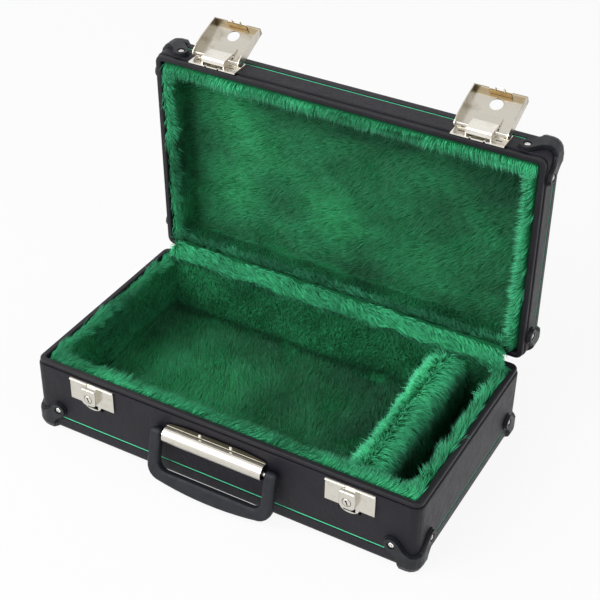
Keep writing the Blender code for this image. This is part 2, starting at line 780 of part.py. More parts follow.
def build_latch_block(name, centre):
    """Formed channel over the pin: closed front and top, open below and behind."""
    half = BLOCK_WIDTH / 2
    foot = GAP / 2 + SHEET + GAP
    face = lid_frame_map(centre)
    across = lambda u, v, w: face(w, u, v)
    front, rear, top, slope = 0.0024, 0.0188, 0.0080, 0.0016
    outline = [(front, foot), (rear, foot), (rear, top + slope), (front + 0.0014, top + 0.0006),
               (front, top - 0.0006)]
    block = prism(name, outline, across, -half, half)
    t = BLOCK_SHEET
    inner = [(front + t, -0.002), (rear + 0.002, -0.002), (rear + 0.002, top + slope - t + 0.0002),
             (front + 0.0018, top + 0.0006 - t), (front + t, top - 0.0006 - t * 0.6)]
    hollow = prism("hollow", inner, across, -half + t, half - t)
    under = box("under", (centre - half + t, centre + half - t),
                (FRONT - foot + 0.001, FRONT - foot - 0.0018),
                (LID_RIM + front - 0.001, LID_RIM + front + 0.004))
    hole = rod("hole", (centre - half - 0.002, PIVOT_Y, PIVOT_Z), (centre + half + 0.002, PIVOT_Y, PIVOT_Z),
               PIN_RADIUS + PIN_GAP, 12)
    return cut(block, hollow, under, hole)


def build_latch_pin(name, centre):
    reach = FLAP_WIDTH / 2 + 0.0006
    return rod(name, (centre - reach, PIVOT_Y, PIVOT_Z), (centre + reach, PIVOT_Y, PIVOT_Z), PIN_RADIUS, 12)


def flap_frame(centre):
    """Map (across, along the flap, towards the case) with the flap hanging straight down."""
    return lambda u, v, w: (centre + u, PIVOT_Y + w, PIVOT_Z - v)


def build_flap(name, centre):
    """Box-shaped cover with deep sides, a round hole and an open notch for its catch."""
    place = flap_frame(centre)
    half, t, sheet_at = FLAP_WIDTH / 2, FLAP_SHEET, -FLAP_DEPTH
    length = FLAP_LENGTH
    side = [(1.0, sheet_at * 1000 - 1.0), (length * 1000, sheet_at * 1000 - 1.0), (length * 1000, 1.3),
            (36.0, 2.3), (27.4, 3.2), (17.4, 4.3), (6.0, 4.5), (2.6, 3.9), (-0.6, 3.2),
            (-2.8, 1.8), (-3.5, 0.0), (-3.0, -1.9), (-1.2, -4.2)]
    side = [(s / 1000, n / 1000) for s, n in side]
    shell = prism(name, side, lambda u, v, w: place(w, u, v), -half, half)
    room = [(-0.010, -0.012), (-0.004, sheet_at), (length - t, sheet_at), (length - t, 0.010),
            (-0.010, 0.010)]
    inside = prism("inside", room, lambda u, v, w: place(w, u, v), -half + t, half - t)
    block_half = BLOCK_WIDTH / 2 + 0.0007
    mouth = prism("mouth", [(-0.010, -0.012), (FLAP_MOUTH, -0.012), (FLAP_MOUTH, 0.010), (-0.010, 0.010)],
                  lambda u, v, w: place(w, u, v), -block_half, block_half)
    heel_section = [(-0.010, -0.012), (0.0012, -0.012), (0.0012, sheet_at + 0.0002),
                    (-0.010, sheet_at + 0.0002)]
    heel = prism("heel", heel_section, lambda u, v, w: place(w, u, v), -half + t, half - t)
    catch_half = CATCH_WIDTH / 2 + GAP
    catch_gap = prism("gap", [(length - t - 0.001, sheet_at), (length + 0.002, sheet_at),
                              (length + 0.002, 0.010), (length - t - 0.001, 0.010)],
                      lambda u, v, w: place(w, u, v), -catch_half, catch_half)
    hole = rod("hole", place(0.0, FLAP_HOLE_AT, sheet_at - 0.004), place(0.0, FLAP_HOLE_AT, sheet_at + 0.002),
               FLAP_HOLE_RADIUS, 24)
    pin_hole = rod("pin", place(-half - 0.002, 0.0, 0.0), place(half + 0.002, 0.0, 0.0),
                   PIN_RADIUS + PIN_GAP, 12)
    cut(shell, inside, mouth, heel, catch_gap, hole, pin_hole)
    pad_half = BLOCK_WIDTH / 2
    pad = prism("pad", [(0.0100, sheet_at - 0.0005), (0.0180, sheet_at - 0.0005), (0.0180, sheet_at + 0.0010),
                        (0.0100, sheet_at + 0.0022)], lambda u, v, w: place(w, u, v), -pad_half, pad_half)
    return join(shell, pad)


def build_catch(name, centre):
    """Sprung tongue at the free end of the flap, drilled for the two ends of its staple."""
    place = flap_frame(centre)
    half = CATCH_WIDTH / 2
    start = FLAP_LENGTH - CATCH_THICKNESS
    sheet_at = -FLAP_DEPTH + GAP
    outline = [(-half, sheet_at), (half, sheet_at), (half, -0.0008), (half - 0.0008, 0.0),
               (-half + 0.0008, 0.0), (-half, -0.0008)]
    catch = prism(name, outline, lambda u, v, w: place(u, w, v), start, FLAP_LENGTH)
    middle = start + CATCH_THICKNESS / 2
    legs = [(place(side * STAPLE_WIDTH / 2, middle, 0.0), (0, 1, 0)) for side in (-1, 1)]
    radius = CATCH_THICKNESS / 2 - 0.0003
    return cut(catch, rod_group("legs", legs, radius, 0.002, 0.0022, 8))


def build_staple(name, centre):
    """Round wire loop that enters the lock: two legs, two bends and a crossbar."""
    place = flap_frame(centre)
    middle = STAPLE_AT
    half = STAPLE_WIDTH / 2
    bend = 0.0014
    rise = STAPLE_RISE
    path = [(-half, -0.0018), (-half, rise - bend)]
    path += arc((-half + bend, rise - bend), bend, 180, 90, 3)[1:]
    path += arc((half - bend, rise - bend), bend, 90, 0, 3)
    path += [(half, -0.0018)]
    radius_in = CATCH_THICKNESS / 2 - 0.0003 - 0.0002
    bm = bmesh.new()
    loops = []
    for index, (u, v) in enumerate(path):
        before = Vector(path[max(index - 1, 0)])
        after = Vector(path[min(index + 1, len(path) - 1)])
        along = (after - before).normalized()
        across = Vector((along.y, -along.x))
        radius = radius_in if v < 0.0 else STAPLE_WIRE
        loop = []
        for i in range(8):
            angle = 2 * math.pi * i / 8
            flat = Vector((u, v)) + across * radius * math.cos(angle)
            loop.append(place(flat.x, middle + radius * math.sin(angle), flat.y))
        loops.append(loop)
        if index == 0 or index == len(path) - 2:
            shoulder_v = 0.0003
            at = Vector((u, shoulder_v))
            for ring_radius in ((radius_in, STAPLE_WIRE) if index == 0 else (STAPLE_WIRE, radius_in)):
                loop = []
                side = Vector((along.y, -along.x)) if index == 0 else Vector((-1.0, 0.0))
                for i in range(8):
                    angle = 2 * math.pi * i / 8
                    flat = at + side * ring_radius * math.cos(angle)
                    loop.append(place(flat.x, middle + ring_radius * math.sin(angle), flat.y))
                loops.append(loop)
    add_solid(bm, loops)
    return to_object(name, bm, 50.0)


# Handle

HANDLE_Z = FOOT_DROP + HANDLE_PIVOT_HEIGHT
HANDLE_Y = FRONT - HANDLE_PIVOT_OUT


def handle_outline():
    """Front view of the moulded bail, hanging, as (across, below the axle)."""
    half = HANDLE_WIDTH / 2
    inner = half - HANDLE_ARM
    low = HANDLE_DROP - HANDLE_BOW
    r_out, r_in = HANDLE_OUTER_RADIUS, HANDLE_INNER_RADIUS
    inside_low = HANDLE_DROP - HANDLE_GRIP
    top = -HANDLE_THICKNESS / 2
    right = [(inner, top), (half, top)]
    right += arc((half - r_out, low - r_out), r_out, 0, 75, 5)
    grip_end = right[-1][0]
    grip = []
    for i in range(1, 10):
        x = grip_end * (1 - i / 5)
        share = x / grip_end
        grip.append((x, right[-1][1] + (HANDLE_DROP - right[-1][1]) * (1 - share * share)))
    left = [(-x, y) for x, y in reversed(right)]
    inside = arc((-inner + r_in, inside_low - r_in), r_in, 180, 90, 4)
    inside += arc((inner - r_in, inside_low - r_in), r_in, 90, 0, 4)
    return right + grip + left + inside


def build_handle():
    """Bail with rounded edges, arm ends turned about the axle and heels that stop it."""
    half = HANDLE_THICKNESS / 2
    handle = prism("handle", handle_outline(), lambda u, v, w: (u, HANDLE_Y + w, HANDLE_Z - v), -half, half)
    bm = bmesh.new()
    bm.from_mesh(handle.data)
    ends = [e for e in bm.edges if all(abs(v.co.z - HANDLE_Z - half) < 1e-6 for v in e.verts)
            and abs(e.verts[0].co.y - e.verts[1].co.y) < 1e-6]
    bmesh.ops.bevel(bm, geom=ends, offset=half * 0.92, segments=4, profile=0.5, affect="EDGES")
    bm.to_mesh(handle.data)
    bm.free()
    soften = handle.modifiers.new("soft edges", "BEVEL")
    soften.width = HANDLE_EDGE
    soften.segments = 3
    soften.limit_method = "ANGLE"
    soften.angle_limit = math.radians(50.0)
    depsgraph = bpy.context.evaluated_depsgraph_get()
    mesh = bpy.data.meshes.new_from_object(handle.evaluated_get(depsgraph))
    handle.modifiers.clear()
    handle.data = mesh
    wall_reach = HANDLE_PIVOT_OUT - GAP
    for side in (-1, 1):
        middle = side * (HANDLE_WIDTH - HANDLE_ARM) / 2
        heel = box("heel", (middle - 0.0042, middle + 0.0042), (HANDLE_Y, HANDLE_Y + wall_reach),
                   (HANDLE_Z - 0.0075, HANDLE_Z - 0.0003))
        about = Matrix.Translation((0, HANDLE_Y, HANDLE_Z))
        heel.data.transform(about @ Matrix.Rotation(HANDLE_LEAN, 4, "X") @ about.inverted())
        join(handle, heel)
    reach = HANDLE_WIDTH / 2 - 0.0018
    return cut(handle, rod("axle", (-reach, HANDLE_Y, HANDLE_Z), (reach, HANDLE_Y, HANDLE_Z),
                           AXLE_RADIUS + PIN_GAP, 16))


def build_axle():
    reach = HANDLE_WIDTH / 2 - 0.0022
    return rod("handle_axle", (-reach, HANDLE_Y, HANDLE_Z), (reach, HANDLE_Y, HANDLE_Z), AXLE_RADIUS, 16)


def cover_rivet_spots():
    spots = []
    for height in (1, -1):
        z = HANDLE_Z + height * (COVER_RADIUS + COVER_FLANGE * 0.5)
        for side in (-1, 1):
            spots.append(((side * COVER_RIVET_X, FRONT, z), (0, -1, 0)))
    return spots


def build_cover():
    """Half tube over the axle with a flat flange above and below."""
    back, t, r = GAP / 2, COVER_SHEET, COVER_RADIUS
    flat = HANDLE_PIVOT_OUT - COVER_SETBACK
    flange = r + COVER_FLANGE
    outer = [(flat + x, y) for x, y in arc((0, 0), r, -90, 90, 12)]
    inner = [(flat + x, y) for x, y in arc((0, 0), r - t, 90, -90, 12)]
    section = [(back, -flange), (back + t, -flange), (back + t, -r)] + outer
    section += [(back + t, r), (back + t, flange), (back, flange), (back, r - t)] + inner + [(back, -r + t)]
    half = COVER_LENGTH / 2
    cover = prism("handle_cover", section, lambda u, v, w: (w, FRONT - u, HANDLE_Z + v), -half, half)
    cut(cover, sheet_holes(cover_rivet_spots()))
    low, past = r + COVER_FLANGE_END, flange + t
    waste = [(COVER_FLANGE_FLAT, flange), (half, low), (half + t, low), (half + t, past),
             (COVER_FLANGE_FLAT, past)]
    for sx, sz in ((1, 1), (-1, 1), (1, -1), (-1, -1)):
        place = lambda u, v, w: (sx * u, FRONT - w, HANDLE_Z + sz * v)
        cut(cover, prism("waste", waste, place, -t, 2 * t))
    return cover


# Hinges on the rear wall, drawn with the lid shut

def hinge_y():
    return REAR + HINGE_OUT


def build_leaf(name, centre, tray):
    """Flat leaf with its share of the knuckles, on the base or on the lid."""
    low = HINGE_HEIGHT - tray.towards_rim * HINGE_LEAF
    half = HINGE_WIDTH / 2
    back, face = REAR + GAP / 2, REAR + GAP / 2 + HINGE_SHEET
    near = HINGE_HEIGHT - tray.towards_rim * (BARREL_RADIUS + 0.0004)
    outline = [(-half, near), (-half, low + tray.towards_rim * 0.0015), (-half + 0.0015, low),
               (half - 0.0015, low), (half, low + tray.towards_rim * 0.0015), (half, near)]
    leaf = prism(name, outline, lambda u, v, w: (centre + u, w, v), back, face)
    width = HINGE_WIDTH / KNUCKLES
    for index in range(KNUCKLES):
        if (index % 2 == 0) != (tray.towards_rim > 0):
            continue
        start = centre - half + index * width + 0.00015
        end = start + width - 0.0003
        knuckle = rod("knuckle", (start, hinge_y(), HINGE_HEIGHT), (end, hinge_y(), HINGE_HEIGHT),
                      BARREL_RADIUS, 10)
        web = box("web", (start, end), (back, face), sorted((near - tray.towards_rim * 0.0002, HINGE_HEIGHT)))
        join(leaf, knuckle, web)
    bore = rod("bore", (centre - half - 0.001, hinge_y(), HINGE_HEIGHT),
               (centre + half + 0.001, hinge_y(), HINGE_HEIGHT), HINGE_PIN + PIN_GAP, 8)
    cut(leaf, bore)
    for spot in leaf_rivet_spots(centre, tray):
        join(leaf, small_rivet("rivet", spot, GAP / 2 + HINGE_SHEET - RIVET_SINK, 6))
    return leaf


def leaf_rivet_spots(centre, tray):
    z = HINGE_HEIGHT - tray.towards_rim * HINGE_LEAF * 0.62
    spread = HINGE_WIDTH * 0.34
    return [((centre + across * spread, REAR, z), (0, 1, 0)) for across in (-1, 0, 1)]


def build_hinge_pin(name, centre):
    half = HINGE_WIDTH / 2
    return rod(name, (centre - half, hinge_y(), HINGE_HEIGHT), (centre + half, hinge_y(), HINGE_HEIGHT),
               HINGE_PIN, 8)


# Soft pieces inside

def inner_edge():
    """Distance from the case's outline to the fur's inner face."""
    return WALL + GAP + LINING_THICKNESS


def fur_floor():
    return BASE.z(PANEL + GAP + LINING_THICKNESS)


def standing_block(name, half_width, play, top):
    """Block across the case on its fur floor, its lower ends rounded like the fur's own corner."""
    reach = REAR - inner_edge() - play
    foot = fur_floor() + GAP
    r = LINING_FILLET
    outline = [(reach, top), (-reach, top)]
    outline += arc((-reach + r, foot + r), r, 180, 270, 4)
    outline += arc((reach - r, foot + r), r, 270, 360, 4)
    return prism(name, outline, lambda u, v, w: (DIVIDER_CENTRE + w, u, v), -half_width, half_width)


def divider_top():
    """Height of the divider's board, under the fur that goes over it."""
    return BASE_RIM - DIVIDER_BELOW_RIM - DIVIDER_FUR


def build_divider_board():
    return standing_block("divider_board", DIVIDER_BOARD / 2, 0.0010, divider_top())


def build_divider_lining():
    """Fur sleeve over the board: flat sides and a crowned top."""
    top = BASE_RIM - DIVIDER_BELOW_RIM
    half = DIVIDER_BOARD / 2 + DIVIDER_FUR
    slot = DIVIDER_BOARD / 2 + GAP
    slot_top = divider_top() + GAP
    shoulder = DIVIDER_SHOULDER
    low = fur_floor()
    section = [(-slot, low), (-half, low)]
    section += arc((-half + shoulder, top - DIVIDER_CROWN - shoulder), shoulder, 180, 90, 4)
    section += [(0.0, top)]
    section += arc((half - shoulder, top - DIVIDER_CROWN - shoulder), shoulder, 90, 0, 4)
    section += [(half, low), (slot, low), (slot, slot_top), (-slot, slot_top)]
    sleeve = prism("divider_lining", section, lambda u, v, w: (DIVIDER_CENTRE + u, w, v), FRONT, REAR, 60.0)
    return combine(sleeve, standing_block("ends", half + GAP, 0.0006, BASE_RIM), "INTERSECT")


def build_gusset():
    """Fur strip in the corner between the two rear rims, drawn with the lid open."""
    corner_y = REAR + HINGE_OUT - RIM_GAP / 2 - 0.0009
    corner_z = BASE_RIM + 0.0006
    reach, thick = GUSSET_REACH, GUSSET_THICKNESS
    round_in = 0.006
    past_knuckles = GUSSET_CORNER
    section = [(-reach, 0.0), (-past_knuckles, 0.0), (0.0, past_knuckles), (0.0, reach + 0.002),
               (-thick * 0.7, reach + 0.002)]
    section += arc((-thick - round_in, thick + round_in), round_in, 0, -90, 5)
    section += [(-reach, thick * 0.7)]
    half = CASE_WIDTH / 2 - WALL - 0.010
    return prism("gusset", section, lambda u, v, w: (w, corner_y + u, corner_z + v), -half, half, 60.0)


# Assembly

def clear_scene():
    for item in list(bpy.data.objects):
        bpy.data.objects.remove(item)


def build_base(mat, root):
    frame = build_frame(BASE)
    cut(frame, shank_holes(corner_spots(BASE, (0, 1)), RIVET_SHANK))
    cut(frame, shank_holes(cover_rivet_spots(), SMALL_RIVET_SHANK))
    for _, centre in sides(HINGE_X):
        cut(frame, shank_holes(leaf_rivet_spots(centre, BASE), SMALL_RIVET_SHANK))
    for _, centre in sides(LATCH_X):
        cut(frame, lock_pocket(centre))
    attach(frame, mat["leathercloth"], root)
    floor = cut(build_panel(BASE, "base_floor_panel"), shank_holes(corner_spots(BASE, (2,)), RIVET_SHANK))
    attach(floor, mat["leathercloth"], root)
    attach(build_binding(BASE), mat["binding"], root)
    attach(build_piping(BASE), mat["piping"], root)
    attach(build_lining(BASE), mat["fur"], root)
    attach(build_divider_board(), mat["plywood"], root)
    attach(build_divider_lining(), mat["fur"], root)
    attach(build_gusset(), mat["fur"], root)
    for side, centre in sides(LATCH_X):
        attach(build_lock_plate("lock_plate_" + side, centre), mat["nickel"], root)
        attach(build_key_plug("key_plug_" + side, centre), mat["nickel"], root)
        attach(build_bolt("lock_bolt_" + side, centre), mat["steel"], root)
    for side, centre in sides(HINGE_X):
        attach(build_leaf("hinge_base_leaf_" + side, centre, BASE), mat["nickel"], root)
        attach(build_hinge_pin("hinge_pin_" + side, centre), mat["steel"], root)
    attach(build_cover(), mat["nickel"], root)
    for number, spot in enumerate(cover_rivet_spots(), start=1):
        attach(small_rivet(f"handle_cover_rivet_{number}", spot, COVER_SHEET + GAP), mat["nickel"], root)
    attach(build_axle(), mat["steel"], root)


def build_lid(mat, lid_pivot):
    frame = build_frame(LID)
    cut(frame, shank_holes(corner_spots(LID, (0, 1)), RIVET_SHANK))
    for _, centre in sides(HINGE_X):
        cut(frame, shank_holes(leaf_rivet_spots(centre, LID), SMALL_RIVET_SHANK))
    for _, centre in sides(LATCH_X):
        cut(frame, shank_holes(latch_rivet_spots(centre), SMALL_RIVET_SHANK))
    attach(frame, mat["leathercloth"], lid_pivot)
    top = cut(build_panel(LID, "lid_top_panel"), shank_holes(corner_spots(LID, (2,)), RIVET_SHANK))
    attach(top, mat["leathercloth"], lid_pivot)
    attach(build_binding(LID), mat["binding"], lid_pivot)
    attach(build_piping(LID), mat["piping"], lid_pivot)
    attach(build_lining(LID), mat["fur"], lid_pivot)
    for side, centre in sides(HINGE_X):
        attach(build_leaf("hinge_lid_leaf_" + side, centre, LID), mat["nickel"], lid_pivot)


def build_latch(mat, side, centre, lid_pivot):
    attach(build_latch_plate("latch_plate_" + side, centre), mat["nickel"], lid_pivot)
    attach(build_latch_block("latch_block_" + side, centre), mat["nickel"], lid_pivot)
    attach(build_latch_pin("latch_pin_" + side, centre), mat["steel"], lid_pivot)
    for end, spot in zip(("a", "b"), latch_rivet_spots(centre)):
        attach(small_rivet(f"latch_rivet_{side}_{end}", spot, SHEET + GAP), mat["nickel"], lid_pivot)
    turning = pivot("flap_pivot_" + side, (centre, PIVOT_Y, PIVOT_Z), lid_pivot)
    attach(build_flap("latch_flap_" + side, centre), mat["nickel"], turning)
    attach(build_catch("catch_" + side, centre), mat["brass"], turning)
    attach(build_staple("staple_" + side, centre), mat["nickel"], turning)
    turning.rotation_euler.x = FLAP_OPEN


def main():
    clear_scene()
    mat = make_materials()
    root = pivot("case", (0.0, 0.0, 0.0))
    build_base(mat, root)

    handle_pivot = pivot("handle_pivot", (0.0, HANDLE_Y, HANDLE_Z), root)
    attach(build_handle(), mat["plastic"], handle_pivot)
    handle_pivot.rotation_euler.x = -HANDLE_LEAN

    lid_pivot = pivot("lid_pivot", (0.0, hinge_y(), HINGE_HEIGHT), root)
    build_lid(mat, lid_pivot)
    for side, centre in sides(LATCH_X):
        build_latch(mat, side, centre, lid_pivot)

    protector = build_protector()
    for piece in build_corners(BASE, protector):
        attach(piece, mat["plastic"], root)
    for piece in build_corners(LID, protector):
        attach(piece, mat["plastic"], lid_pivot)
    remove(protector)
    lid_pivot.rotation_euler.x = -LID_OPEN
    centre_over_origin(root)


main()
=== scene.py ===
"""Looks of the open keyboard case: its finishes, fur lining, rivets, light and camera.

X runs to the right, Y to the rear and Z up, in metres. The lid is drawn shut on the base and
then turned to where it stands open, as the solids are.
"""

import json
import logging
import math
from collections.abc import Callable
from dataclasses import dataclass, replace
from enum import Enum

import bmesh
import bpy
import numpy as np
from mathutils import Matrix, Vector
from mathutils.kdtree import KDTree


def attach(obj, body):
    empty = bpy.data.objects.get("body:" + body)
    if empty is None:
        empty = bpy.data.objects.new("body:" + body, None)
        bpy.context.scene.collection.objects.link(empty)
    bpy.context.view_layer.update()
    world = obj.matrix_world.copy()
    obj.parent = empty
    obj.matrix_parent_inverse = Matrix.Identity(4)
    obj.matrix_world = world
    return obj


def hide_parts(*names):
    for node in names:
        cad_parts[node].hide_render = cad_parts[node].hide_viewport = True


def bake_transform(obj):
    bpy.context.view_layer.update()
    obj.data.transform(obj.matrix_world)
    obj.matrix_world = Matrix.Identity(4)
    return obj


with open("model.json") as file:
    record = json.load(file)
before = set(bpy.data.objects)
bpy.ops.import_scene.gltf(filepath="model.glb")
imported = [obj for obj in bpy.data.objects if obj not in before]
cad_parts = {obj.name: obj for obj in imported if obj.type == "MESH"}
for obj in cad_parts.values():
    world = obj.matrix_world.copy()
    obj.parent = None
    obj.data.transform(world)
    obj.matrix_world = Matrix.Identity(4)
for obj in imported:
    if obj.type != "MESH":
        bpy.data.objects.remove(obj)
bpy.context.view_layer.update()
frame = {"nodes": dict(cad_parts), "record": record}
LOG = logging.getLogger("case")

Point = tuple[float, float, float]
Colour = tuple[float, float, float]
Rows = np.ndarray
Socket = bpy.types.NodeSocket
Facing = Callable[[Rows, Rows], Rows]
Placed = Callable[[Rows], Rows]

# Sizes of the case that several classes read
HALF_WIDTH = 0.200
FRONT = -0.123093
REAR = 0.098907
UNDERSIDE = 0.0036
LID_TOP = 0.1160
HINGE = Vector((0.0, 0.100707, 0.0798))
LID_TURN = (
    Matrix.Translation(HINGE)
    @ Matrix.Rotation(math.radians(-88.0), 4, "X")
    @ Matrix.Translation(-HINGE)
)
LINING_OUTER = 0.0075        # from the case's side to the backing's outer side
LINING_SHELL = 0.0076        # the backing's thickness at the rim
ROOT_DEPTH = 0.0010          # how deep a strand starts in its backing
TOUCH = 1e-5                 # two heights nearer than this are the same
TAU = 2.0 * math.pi
WHITE = (1.0, 1.0, 1.0, 1.0)


class Part(Enum):
    """What of a mesh is picked in edit mode."""

    EDGE = "EDGE"
    FACE = "FACE"


# ---- Modelling by hand


def clear_selection() -> None:
    """Leave edit mode and deselect every object."""
    if bpy.context.object and bpy.context.object.mode != "OBJECT":
        bpy.ops.object.mode_set(mode="OBJECT")
    bpy.ops.object.select_all(action="DESELECT")


def take(item: bpy.types.Object) -> None:
    """Make one object the only selected and the active one."""
    clear_selection()
    item.select_set(True)
    bpy.context.view_layer.objects.active = item


def add_object(name: str, data: bpy.types.ID) -> bpy.types.Object:
    """Put an object with its data into the scene."""
    item = bpy.data.objects.new(name, data)
    bpy.context.scene.collection.objects.link(item)
    return item


def add_block(name: str, low: Point, high: Point) -> bpy.types.Object:
    """Add a block between two corners, with its place in its mesh.

    Args:
        name: the piece's name.
        low: the lowest corner.
        high: the highest corner.

    Returns:
        The new object.
    """
    clear_selection()
    middle = [(a + b) / 2 for a, b in zip(low, high)]
    size = [b - a for a, b in zip(low, high)]
    bpy.ops.mesh.primitive_cube_add(size=1.0, location=middle, scale=size)
    item = bpy.context.object
    item.name = name
    item.data.name = name
    bpy.ops.object.transform_apply(location=True, rotation=True, scale=True)
    return item


def pick(item: bpy.types.Object, part: Part, wanted: Callable[[Vector, Vector], bool]) -> None:
    """Enter edit mode with what passes a test selected.

    Args:
        item: the object to edit.
        part: whether edges or faces are picked.
        wanted: told an edge's two ends, or a face's middle and normal, says whether it is.
    """
    take(item)
    bpy.ops.object.mode_set(mode="EDIT")
    bpy.ops.mesh.select_mode(type=part.value)
    bpy.ops.mesh.select_all(action="DESELECT")
    mesh = bmesh.from_edit_mesh(item.data)
    if part is Part.EDGE:
        for edge in mesh.edges:
            edge.select = wanted(edge.verts[0].co, edge.verts[1].co)
    else:
        for face in mesh.faces:
            face.select = wanted(face.calc_center_median(), face.normal)
    bmesh.update_edit_mesh(item.data)


def apply_modifier(item: bpy.types.Object, kind: str, **settings: object) -> None:
    """Add one modifier with its settings and apply it.

    Args:
        item: the object that it shapes.
        kind: the modifier's type.
        settings: its values by name.
    """
    take(item)
    modifier = item.modifiers.new(kind.lower(), kind)
    for key, value in settings.items():
        setattr(modifier, key, value)
    bpy.ops.object.modifier_apply(modifier=modifier.name)


def roughen(item: bpy.types.Object, size: float, strength: float) -> None:
    """Move a mesh's points in and out along smooth clouds.

    Args:
        item: the object that it shapes.
        size: the width of the clouds.
        strength: the greatest move.
    """
    clouds = bpy.data.textures.new(item.name + "_clouds", "CLOUDS")
    clouds.noise_scale = size
    apply_modifier(item, "DISPLACE", texture=clouds, strength=strength, mid_level=0.5)
    bpy.data.textures.remove(clouds)


def soften(item: bpy.types.Object, voxel: float, size: float, strength: float) -> None:
    """Turn a block in edit mode into a smooth, uneven pad.

    Args:
        item: the object that it shapes.
        voxel: the size of its new faces.
        size: the width of the unevenness.
        strength: the greatest move.
    """
    bpy.ops.object.mode_set(mode="OBJECT")
    apply_modifier(item, "REMESH", mode="VOXEL", voxel_size=voxel)
    roughen(item, size, strength)
    bpy.ops.object.shade_smooth()


# ---- Finishes


class Nodes:
    """The node tree of a material or world, filled by short calls."""

    def __init__(self, name: str, worlds: bool = False) -> None:
        """Start an empty tree under the name of a new material or world."""
        self.owner = (bpy.data.worlds if worlds else bpy.data.materials).new(name)
        self.owner.use_nodes = True
        self.tree = self.owner.node_tree
        self.tree.nodes.clear()

    def add(self, kind: str, inputs: dict, **settings: object) -> bpy.types.Node:
        """Add a node.

        Args:
            kind: the node's type without its prefix.
            inputs: what its sockets hold, each a number, a colour or another socket.
            settings: the node's own options.

        Returns:
            The node.
        """
        node = self.tree.nodes.new("ShaderNode" + kind)
        for key, value in settings.items():
            setattr(node, key, value)
        for key, value in inputs.items():
            if isinstance(value, Socket):
                self.tree.links.new(value, node.inputs[key])
            else:
                node.inputs[key].default_value = value
        return node

    def place(self, scale: Point = (1.0, 1.0, 1.0)) -> Socket:
        """Object coordinates, stretched by a scale."""
        source = self.add("TexCoord", {}).outputs["Object"]
        return self.add("Mapping", {"Vector": source, "Scale": scale}).outputs["Vector"]

    def noise(self, where: Socket, size: float, detail: float = 3.0,
              roughness: float = 0.55) -> Socket:
        """Cloudy noise from 0 to 1 whose features are about that size."""
        inputs = {"Vector": where, "Scale": 1.0 / size, "Detail": detail, "Roughness": roughness}
        return self.add("TexNoise", inputs).outputs["Fac"]

    def cells(self, where: Socket, size: float) -> Socket:
        """Distance to the edge of cells of about that size."""
        inputs = {"Vector": where, "Scale": 1.0 / size}
        node = self.add("TexVoronoi", inputs, feature="DISTANCE_TO_EDGE")
        return node.outputs["Distance"]

    def span(self, value: Socket, low: float, high: float, to_low: float = 0.0,
             to_high: float = 1.0) -> Socket:
        """A value between two limits, carried over to two others."""
        inputs = {"Value": value, "From Min": low, "From Max": high, "To Min": to_low,
                  "To Max": to_high}
        return self.add("MapRange", inputs).outputs["Result"]

    def sum(self, first: object, second: object, how: str = "ADD") -> Socket:
        """Two values put together by an operation of the Math node."""
        return self.add("Math", {0: first, 1: second}, operation=how).outputs[0]

    def blend(self, share: object, first: object, second: object) -> Socket:
        """A colour between two, by a share from 0 to 1."""
        inputs = {0: share, 6: full(first), 7: full(second)}
        return self.add("Mix", inputs, data_type="RGBA").outputs[2]

    def bump(self, height: Socket, depth: float, strength: float = 1.0
             ) -> Socket:
        """A normal that makes a height stand out by a depth in metres."""
        inputs = {"Height": height, "Distance": depth, "Strength": strength}
        return self.add("Bump", inputs).outputs["Normal"]

    def surface(self, inputs: dict) -> bpy.types.Material:
        """Close the tree with a principled shader that holds the inputs."""
        shader = self.add("BsdfPrincipled", inputs)
        self.add("OutputMaterial", {"Surface": shader.outputs[0]})
        return self.owner


def full(colour: object) -> object:
    """A colour with its alpha, or a socket as it is."""
    return (*colour, 1.0) if isinstance(colour, tuple) and len(colour) == 3 else colour


@dataclass(frozen=True)
class Leathercloth:
    """Black coated cloth with a pressed grain and shallow creases."""

    name: str
    dark: Colour
    light: Colour
    grain: float = 0.0012
    depth: float = 0.00020
    roughness: tuple[float, float] = (0.42, 0.50)

    def material(self) -> bpy.types.Material:
        """Build the material."""
        nodes = Nodes(self.name)
        where = nodes.place()
        drift = nodes.add("TexNoise", {"Vector": where, "Scale": 260.0, "Detail": 2.0})
        shift = nodes.add("VectorMath", {0: drift.outputs["Color"], "Scale": 0.0009},
                          operation="SCALE")
        bent = nodes.add("VectorMath", {0: where, 1: shift.outputs[0]}, operation="ADD")
        pores = nodes.span(nodes.cells(bent.outputs[0], self.grain), 0.0, 0.22)
        creases = nodes.noise(nodes.place((1.0, 1.0, 0.45)), 0.0055, 5.0, 0.65)
        folds = nodes.span(nodes.sum(creases, 0.5, "SUBTRACT"), -0.16, 0.16)
        fine = nodes.noise(where, 0.00032, 2.0)
        height = nodes.sum(nodes.sum(pores, 0.55, "MULTIPLY"), folds)
        height = nodes.sum(height, nodes.sum(fine, 0.20, "MULTIPLY"))
        patches = nodes.noise(where, 0.031, 3.0)
        tone = nodes.blend(nodes.span(patches, 0.3, 0.7), self.dark, self.light)
        tone = nodes.blend(nodes.span(pores, 0.0, 0.5, 0.35, 0.0), tone, self.dark)
        rough = nodes.span(nodes.noise(where, 0.012, 4.0), 0.3, 0.7, *self.roughness)
        return nodes.surface({
            "Base Color": tone,
            "Roughness": rough,
            "Specular IOR Level": 0.26,
            "Normal": nodes.bump(height, self.depth),
        })


